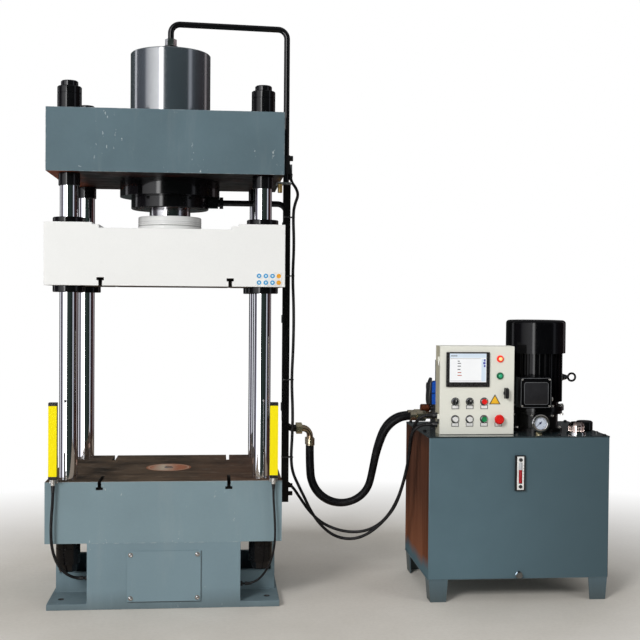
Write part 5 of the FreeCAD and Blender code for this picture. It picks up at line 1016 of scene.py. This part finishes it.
def make_coil_hood():
    """Rounded rubber hood over the plugs of both coils."""
    outline = [(1143.2, 916.0), (1138.5, 914.5), (1133.0, 902.0), (1128.5, 884.0), (1125.4, 862.0),
               (1124.0, 838.0), (1123.8, 816.0), (1125.5, 801.5), (1130.0, 797.0), (1143.2, 796.0)]
    bm = bmesh.new()
    sides = [[bm.verts.new(Vector((x, y, z))) for x, z in outline] for y in (-110.0, -64.0)]
    bridge(bm, sides)
    bm.faces.new(sides[0])
    bm.faces.new(sides[1])
    rim = [edge for edge in bm.edges if abs(edge.verts[0].co.y - edge.verts[1].co.y) < 0.1]
    bmesh.ops.bevel(bm, geom=rim, offset=3.0, segments=3, profile=0.5, affect="EDGES")
    link_piece("coil_hood", bm, [black_plastic])


def make_level_face():
    """Pale scale plate of the sight gauge, with its half-full tube and hollow screws."""
    x, y0, y1 = 1470, -359.2, -358.0
    bottom, top = 468.5, 607.5
    bm = bmesh.new()
    add_box(bm, (x - 14.5, y0, bottom), (x - 7.7, y1, top), 0.3, 0)
    add_box(bm, (x + 7.7, y0, bottom), (x + 14.5, y1, top), 0.3, 0)
    add_box(bm, (x - 7.7, y0, top - 25.3), (x + 7.7, y1, top), 0.3, 0)
    add_box(bm, (x - 7.7, y0, bottom), (x + 7.7, y1, bottom + 25.3), 0.3, 0)
    add_disc(bm, 7.6, 55.0, (x, -355.0, 497.0), UP, 20, 1)
    add_disc(bm, 7.6, 30.0, (x, -355.0, 552.1), UP, 20, 2)
    for k in range(6):
        z = 506 + 12.8 * k
        add_box(bm, (1480.0, y0 - 0.2, z), (1484.0, y0 + 0.2, z + 1.2), 0.0, 3)
    for z in (482, 594):
        add_cap_screw(bm, 13.0, 3.0, (x, -361.6, z), FRONT, 3)
    link_piece("level_face", bm, [white_plastic, fluid_red, fluid_grey, label_dark])


def make_dial():
    """Ticks of the pressure gauge, its rim with a dark line on either side, and the nut below it."""
    centre = Vector((GAUGE_X, -309.2, GAUGE_Z))
    rim_place = (GAUGE_X, -314.8, GAUGE_Z)
    line_place = (GAUGE_X, -314.6, GAUGE_Z)
    steps, sweep, outer = 30, 270.0, 24.6
    bm = bmesh.new()
    for k in range(steps + 1):
        angle = math.radians(225.0 - sweep * k / steps)
        inner, half = (19.0, 0.55) if k % 5 == 0 else (22.0, 0.3)
        way = Vector((math.cos(angle), 0.0, math.sin(angle)))
        across = Vector((-math.sin(angle), 0.0, math.cos(angle)))
        corners = [centre + way * inner - across * half, centre + way * outer - across * half,
                   centre + way * outer + across * half, centre + way * inner + across * half]
        back = [bm.verts.new(corner + Vector((0, 0.15, 0))) for corner in corners]
        front = [bm.verts.new(corner) for corner in corners]
        bm.faces.new(front)
        bridge(bm, [front, back])
    rim = [(27.0, 0.0), (36.6, 0.0), (36.9, 1.6), (35.0, 3.2), (31.5, 2.6), (29.0, 3.4), (27.0, 2.2),
           (27.0, 0.0)]
    add_turned(bm, rim, rim_place, FRONT, 64, 1)
    add_turned(bm, [(36.7, 0.0), (38.2, 0.0), (38.2, 2.0), (36.7, 2.4)], line_place, FRONT, 64, 0)
    add_turned(bm, [(26.2, 0.0), (27.6, 0.0), (27.6, 3.2), (26.2, 3.0)], line_place, FRONT, 64, 0)
    add_bolt(bm, 22.0, 12.0, (GAUGE_X, -292.5, LID_TOP), UP, 2)
    link_piece("gauge_dial", bm, [label_dark, bright, union_brass])


def make_cap_ribs():
    """Grip ribs and the lifting edge of the breather cap."""
    ribs = 28
    bm = bmesh.new()
    for k in range(ribs):
        x, y = around(CAP_X, CAP_Y, 33.0, 360 * k / ribs)
        add_turned(bm, [(0.0, 0.0), (1.5, 0.0), (1.5, 20.0), (0.0, 22.0)], (x, y, 702), UP, 8)
    add_turned(bm, [(20.0, 0.0), (24.0, 0.0), (23.0, 1.6), (20.0, 1.8)], (CAP_X, CAP_Y, 738.3), UP, 40)
    link_piece("cap_ribs", bm, [cap_chrome], "filler_cap")


def make_screen():
    """Lit page of the touch panel: plain rows, a side strip and a header, with no lettering."""
    front = -281.0
    x0, x1, z0, z1 = 1182.5, 1339.5, 911.5, 1032.5
    bm = bmesh.new()
    add_box(bm, (x0, front, z0), (x1, front + 0.4, z1), 0.0, 0)
    add_box(bm, (x0, front - 0.15, z1 - 18), (x1, front + 0.1, z1), 0.0, 1)
    add_box(bm, (x0 + 5, front - 0.3, z1 - 11.5), (x0 + 32, front + 0.1, z1 - 8.5), 0.0, 4)
    add_box(bm, (x0 + 3, front - 0.3, z1 - 22), (x1 - 24, front + 0.1, z1 - 21), 0.0, 4)
    add_box(bm, (x1 - 21, front - 0.15, z0 + 3), (x1 - 3, front + 0.1, z1 - 22), 0.0, 1)
    for k in range(3):
        top = z1 - 24 - 12 * k
        add_box(bm, (x1 - 11 - 3 * (k % 2), front - 0.3, top - 9), (x1 - 4, front + 0.1, top), 0.0, 2)
    for z, width, tone in ((1002, 9, 4), (993, 14, 4), (981, 14, 4), (967, 12, 4), (954, 16, 3),
                           (942, 18, 3)):
        add_box(bm, (1216, front - 0.3, z - 3.4), (1216 + width, front + 0.1, z), 0.0, tone)
    add_box(bm, (x0 + 3, front - 0.3, z0 + 5), (x1 - 24, front + 0.1, z0 + 5.8), 0.0, 4)
    link_piece("screen_page", bm, [page_white, page_blue, page_violet, page_red, page_grey], "door")


def make_plate_edges():
    """Dark edges of the bare yellow triangle and of the blank name plates, gaskets and the latch's plate."""
    door_front, plate_front = -276.0, -277.3
    side = 48.0
    rise = side * math.sqrt(3) / 2
    middle = Vector((SIGN_X, -277.2, SIGN_Z))
    corners = [Vector((-side / 2, 0, -rise / 3)), Vector((side / 2, 0, -rise / 3)),
               Vector((0, 0, rise * 2 / 3))]
    bm = bmesh.new()
    outer = [bm.verts.new(middle + corner * 1.02) for corner in corners]
    inner = [bm.verts.new(middle + corner * 0.80) for corner in corners]
    depth = Vector((0, 0.8, 0))
    outer_low, inner_low = ([bm.verts.new(vert.co + depth) for vert in ring] for ring in (outer, inner))
    bridge(bm, [outer, inner])
    bridge(bm, [outer, outer_low])
    bridge(bm, [inner, inner_low])
    for x, z in OPERATORS:
        z -= PLATE_DROP
        for x0, x1, z0, z1 in ((-15.6, 15.6, -8.6, -6.3), (-15.6, 15.6, 6.3, 8.2),
                               (-15.6, -13.3, -8.6, 8.2), (13.3, 15.6, -8.6, 8.2)):
            add_box(bm, (x + x0, plate_front, z + z0), (x + x1, door_front, z + z1), 0.25)
    gasket = [(14.7, 0.0), (17.6, 0.0), (17.6, 1.2), (16.6, 2.0), (14.7, 2.0)]
    for x, z in OPERATORS[:6]:
        add_turned(bm, gasket, (x, door_front, z), FRONT, 40)
    add_box(bm, (1418.5, -278.4, 842.5), (1435.5, door_front, 887.5), 2.2)
    link_piece("plate_edges", bm, [label_dark], "door")


def make_selector_lines():
    """White pointer line on each selector's grip."""
    for name, (x, _) in zip(("selector_left", "selector_right"), OPERATORS):
        bm = bmesh.new()
        add_box(bm, (x - 0.8, -295.3, 829.5), (x + 0.8, -294.8, 838.5), 0.15)
        link_piece(name + "_line", bm, [label_white], name)


def make_button_dishes():
    """Polished dish of each push button."""
    buttons = (("red_button", OPERATORS[2], red_plastic), ("green_button", OPERATORS[5], green_plastic),
               ("white_button_left", OPERATORS[3], white_plastic),
               ("white_button_right", OPERATORS[4], white_plastic))
    dish = [(11.0, -1.0), (11.1, 0.2), (10.4, 0.9), (9.4, 0.7), (8.4, 0.25), (5.0, 0.10), (0.0, 0.05)]
    for name, (x, z), finish in buttons:
        bm = bmesh.new()
        add_turned(bm, dish, (x, -286.0, z), FRONT, 36)
        link_piece(name + "_dish", bm, [finish], name)


make_frame_welds()
make_cover_screws()
make_cable_ties()
make_boots()
make_disc_hub()
make_port_bolts()
make_flange_joint()
make_slide_dots()
make_guard_details()
make_tank_details()
make_terminal_details()
make_coil_hood()
make_level_face()
make_dial()
make_cap_ribs()
make_screen()
make_plate_edges()
make_selector_lines()
make_button_dishes()


# ---------------------------------------------------------------- softened edges
def soften(name, width):
    """Rounds the sharp edges of a welded or folded node a little, so that they catch the light."""
    join_distance = 0.00002
    least_angle = math.radians(50.0)
    weld = nodes[name].modifiers.new("joined", "WELD")
    weld.merge_threshold = join_distance
    bevel = nodes[name].modifiers.new("edge", "BEVEL")
    bevel.width = width
    bevel.segments = 2
    bevel.limit_method = "ANGLE"
    bevel.angle_limit = least_angle
    bevel.harden_normals = True


for node_name, width in (("crown", 0.0022), ("table_body", 0.0018), ("base_stand", 0.0015),
                         ("base_cover", 0.0008), ("slide_plate", 0.0022), ("tank_body", 0.0014),
                         ("control_door", 0.0016), ("control_cabinet", 0.0016)):
    soften(node_name, width)

# Hidden from glossy rays, because their mirror images in each other are only specks.
for node_name in ("columns", "light_curtain_posts"):
    nodes[node_name].visible_glossy = False


# ---------------------------------------------------------------- floor, light and background
def make_floor():
    """Pale concrete floor that keeps the shadow, fades to white far away and looks darker to glossy rays."""
    middle_x, drop, half_width = 0.6, 0.0006, 3.4
    fade_start, fade_end, narrowing = 1.0, 2.6, 0.72
    mirrored_share = 0.8
    bm = bmesh.new()
    bmesh.ops.create_grid(bm, x_segments=8, y_segments=8, size=half_width,
                          matrix=Matrix.Translation((middle_x, 0.0, -drop)))
    mesh = bpy.data.meshes.new("floor")
    bm.to_mesh(mesh)
    bm.free()
    f = Finish("floor_concrete", 0.75, 0.0, 0.0, 0.1, 0.25)
    cloud = f.noise(1.3, 6.0, 0.6)
    grain = f.noise(60.0, 4.0, 0.6)
    base = f.mix(f.band(cloud, 0.3, 0.7), (0.60, 0.565, 0.51), (0.70, 0.665, 0.61))
    base = f.mix(f.band(grain, 0.4, 0.7, 0.0, 0.18), base, (0.48, 0.45, 0.41))
    f.put("Base Color", base)
    f.bump(grain, 0.0006, 0.4)
    x, y, _ = f.axes()
    away = f.distance(f.times(f.minus(x, middle_x), narrowing), y)
    light_path = f.nodes.new("ShaderNodeLightPath")
    share = f.times(f.band(away, fade_start, fade_end), light_path.outputs["Is Camera Ray"])
    white = f.nodes.new("ShaderNodeEmission")
    white.inputs["Color"].default_value = (1.0, 1.0, 1.0, 1.0)
    worn = f.nodes.new("ShaderNodeEmission")
    worn.inputs["Color"].default_value = (0.19, 0.145, 0.105, 1.0)
    blend = f.nodes.new("ShaderNodeMixShader")
    f.links.new(share, blend.inputs[0])
    f.links.new(f.shader.outputs[0], blend.inputs[1])
    f.links.new(white.outputs[0], blend.inputs[2])
    mirrored = f.nodes.new("ShaderNodeMixShader")
    f.links.new(f.times(light_path.outputs["Is Glossy Ray"], mirrored_share), mirrored.inputs[0])
    f.links.new(blend.outputs[0], mirrored.inputs[1])
    f.links.new(worn.outputs[0], mirrored.inputs[2])
    out = [n for n in f.nodes if n.type == "OUTPUT_MATERIAL"][0]
    f.links.new(mirrored.outputs[0], out.inputs[0])
    mesh.materials.append(f.mat)
    floor = bpy.data.objects.new("floor", mesh)
    bpy.context.scene.collection.objects.link(floor)


def make_world():
    """White background, even sky light, and for glossy rays the bright and dark walls of a workshop."""
    sky_strength = 0.42
    peak = 10.0
    walls_end, ceiling_start = 0.30, 0.75
    # Bearing in degrees and colour at that bearing. The walls are what polished metal shows here
    # instead of the white, which only camera and transmission rays see.
    walls = [(-180, 0.06, 0.07, 0.07), (-140, 0.045, 0.05, 0.05), (-122, 0.045, 0.05, 0.05),
             (-118, 1.6, 1.6, 1.7), (-113, 1.6, 1.6, 1.7), (-109, 0.10, 0.09, 0.11), (-90, 0.11, 0.10, 0.12),
             (-77, 0.14, 0.13, 0.16), (-70, 0.95, 0.95, 1.02), (-58, 1.6, 1.6, 1.65), (-42, 2.2, 2.2, 2.25),
             (-30, 2.3, 2.3, 2.4), (-27, 10.0, 10.0, 10.0), (-22, 10.0, 10.0, 10.0), (-18, 0.9, 0.9, 0.9),
             (-15, 0.035, 0.045, 0.042), (10, 0.025, 0.038, 0.034), (44, 0.016, 0.022, 0.020),
             (53, 0.025, 0.03, 0.034), (57, 0.72, 0.75, 0.84), (63, 0.72, 0.75, 0.84),
             (68, 0.10, 0.10, 0.12), (80, 0.035, 0.022, 0.022), (104, 0.040, 0.014, 0.014),
             (117, 0.045, 0.02, 0.02), (121, 0.60, 0.54, 0.56), (127, 0.52, 0.47, 0.49),
             (131, 0.05, 0.03, 0.03), (180, 0.06, 0.07, 0.07)]
    ceiling = (0.22, 0.225, 0.235)
    world = bpy.data.worlds.new("studio")
    bpy.context.scene.world = world
    world.use_nodes = True
    tree = world.node_tree
    tree.nodes.clear()

    def node(kind, **values):
        made = tree.nodes.new(kind)
        for key, value in values.items():
            setattr(made, key, value)
        return made

    def calc(operation, first, second):
        made = node("ShaderNodeMath", operation=operation)
        for value, target in zip((first, second), made.inputs):
            if isinstance(value, bpy.types.NodeSocket):
                tree.links.new(value, target)
            else:
                target.default_value = value
        return made.outputs[0]

    def share_of_peak(colour):
        return (*(channel / peak for channel in colour), 1.0)

    def background(strength):
        """White background of the given strength."""
        made = node("ShaderNodeBackground")
        made.inputs[0].default_value = (1.0, 1.0, 1.0, 1.0)
        made.inputs[1].default_value = strength
        return made

    def mixed(share, first, second):
        """Shader that goes from the first to the second with the share."""
        made = node("ShaderNodeMixShader")
        tree.links.new(share, made.inputs[0])
        tree.links.new(first.outputs[0], made.inputs[1])
        tree.links.new(second.outputs[0], made.inputs[2])
        return made

    way = node("ShaderNodeSeparateXYZ")
    tree.links.new(node("ShaderNodeTexCoord").outputs["Generated"], way.inputs[0])
    bearing = calc("ARCTAN2", way.outputs[0], calc("MULTIPLY", way.outputs[1], -1.0))
    turn = calc("ADD", calc("DIVIDE", bearing, 2 * math.pi), 0.5)
    ramp = node("ShaderNodeValToRGB")
    stops = ramp.color_ramp.elements
    stops[0].position, stops[1].position = 0.0, 1.0
    stops[0].color = share_of_peak(walls[0][1:])
    stops[1].color = share_of_peak(walls[-1][1:])
    for angle, *colour in walls[1:-1]:
        stops.new(angle / 360.0 + 0.5).color = share_of_peak(colour)
    tree.links.new(turn, ramp.inputs[0])
    high = node("ShaderNodeMapRange")
    tree.links.new(way.outputs[2], high.inputs[0])
    high.inputs[1].default_value = walls_end
    high.inputs[2].default_value = ceiling_start
    room = node("ShaderNodeMix", data_type="RGBA")
    tree.links.new(high.outputs[0], room.inputs[0])
    tree.links.new(ramp.outputs[0], room.inputs[6])
    room.inputs[7].default_value = share_of_peak(ceiling)

    seen = node("ShaderNodeLightPath")
    reflected = background(peak)
    tree.links.new(room.outputs[2], reflected.inputs[0])
    gloss = mixed(seen.outputs["Is Glossy Ray"], background(sky_strength), reflected)
    direct = calc("MAXIMUM", seen.outputs["Is Camera Ray"], seen.outputs["Is Transmission Ray"])
    back = mixed(direct, gloss, background(1.0))
    tree.links.new(back.outputs[0], node("ShaderNodeOutputWorld").inputs[0])


def add_light(name, place, aim, size, power):
    """White rectangular lamp that neither the camera nor glossy rays see."""
    data = bpy.data.lights.new(name, "AREA")
    data.shape = "RECTANGLE"
    data.size, data.size_y = size
    data.energy = power
    lamp = bpy.data.objects.new(name, data)
    lamp.location = place
    lamp.rotation_euler = (Vector(aim) - Vector(place)).to_track_quat("-Z", "Y").to_euler()
    lamp.visible_camera = False
    lamp.visible_glossy = False
    bpy.context.scene.collection.objects.link(lamp)


make_floor()
make_world()
add_light("key", (-5.2, -8.4, 6.0), (0.5, 0.0, 1.0), (3.0, 3.0), 740.0)
add_light("fill", (7.5, -6.5, 3.8), (0.8, 0.0, 0.8), (4.4, 4.4), 130.0)
add_light("top", (0.6, 0.6, 5.0), (0.6, 0.0, 0.5), (3.0, 3.0), 30.0)
bpy.context.scene.view_settings.view_transform = "Standard"
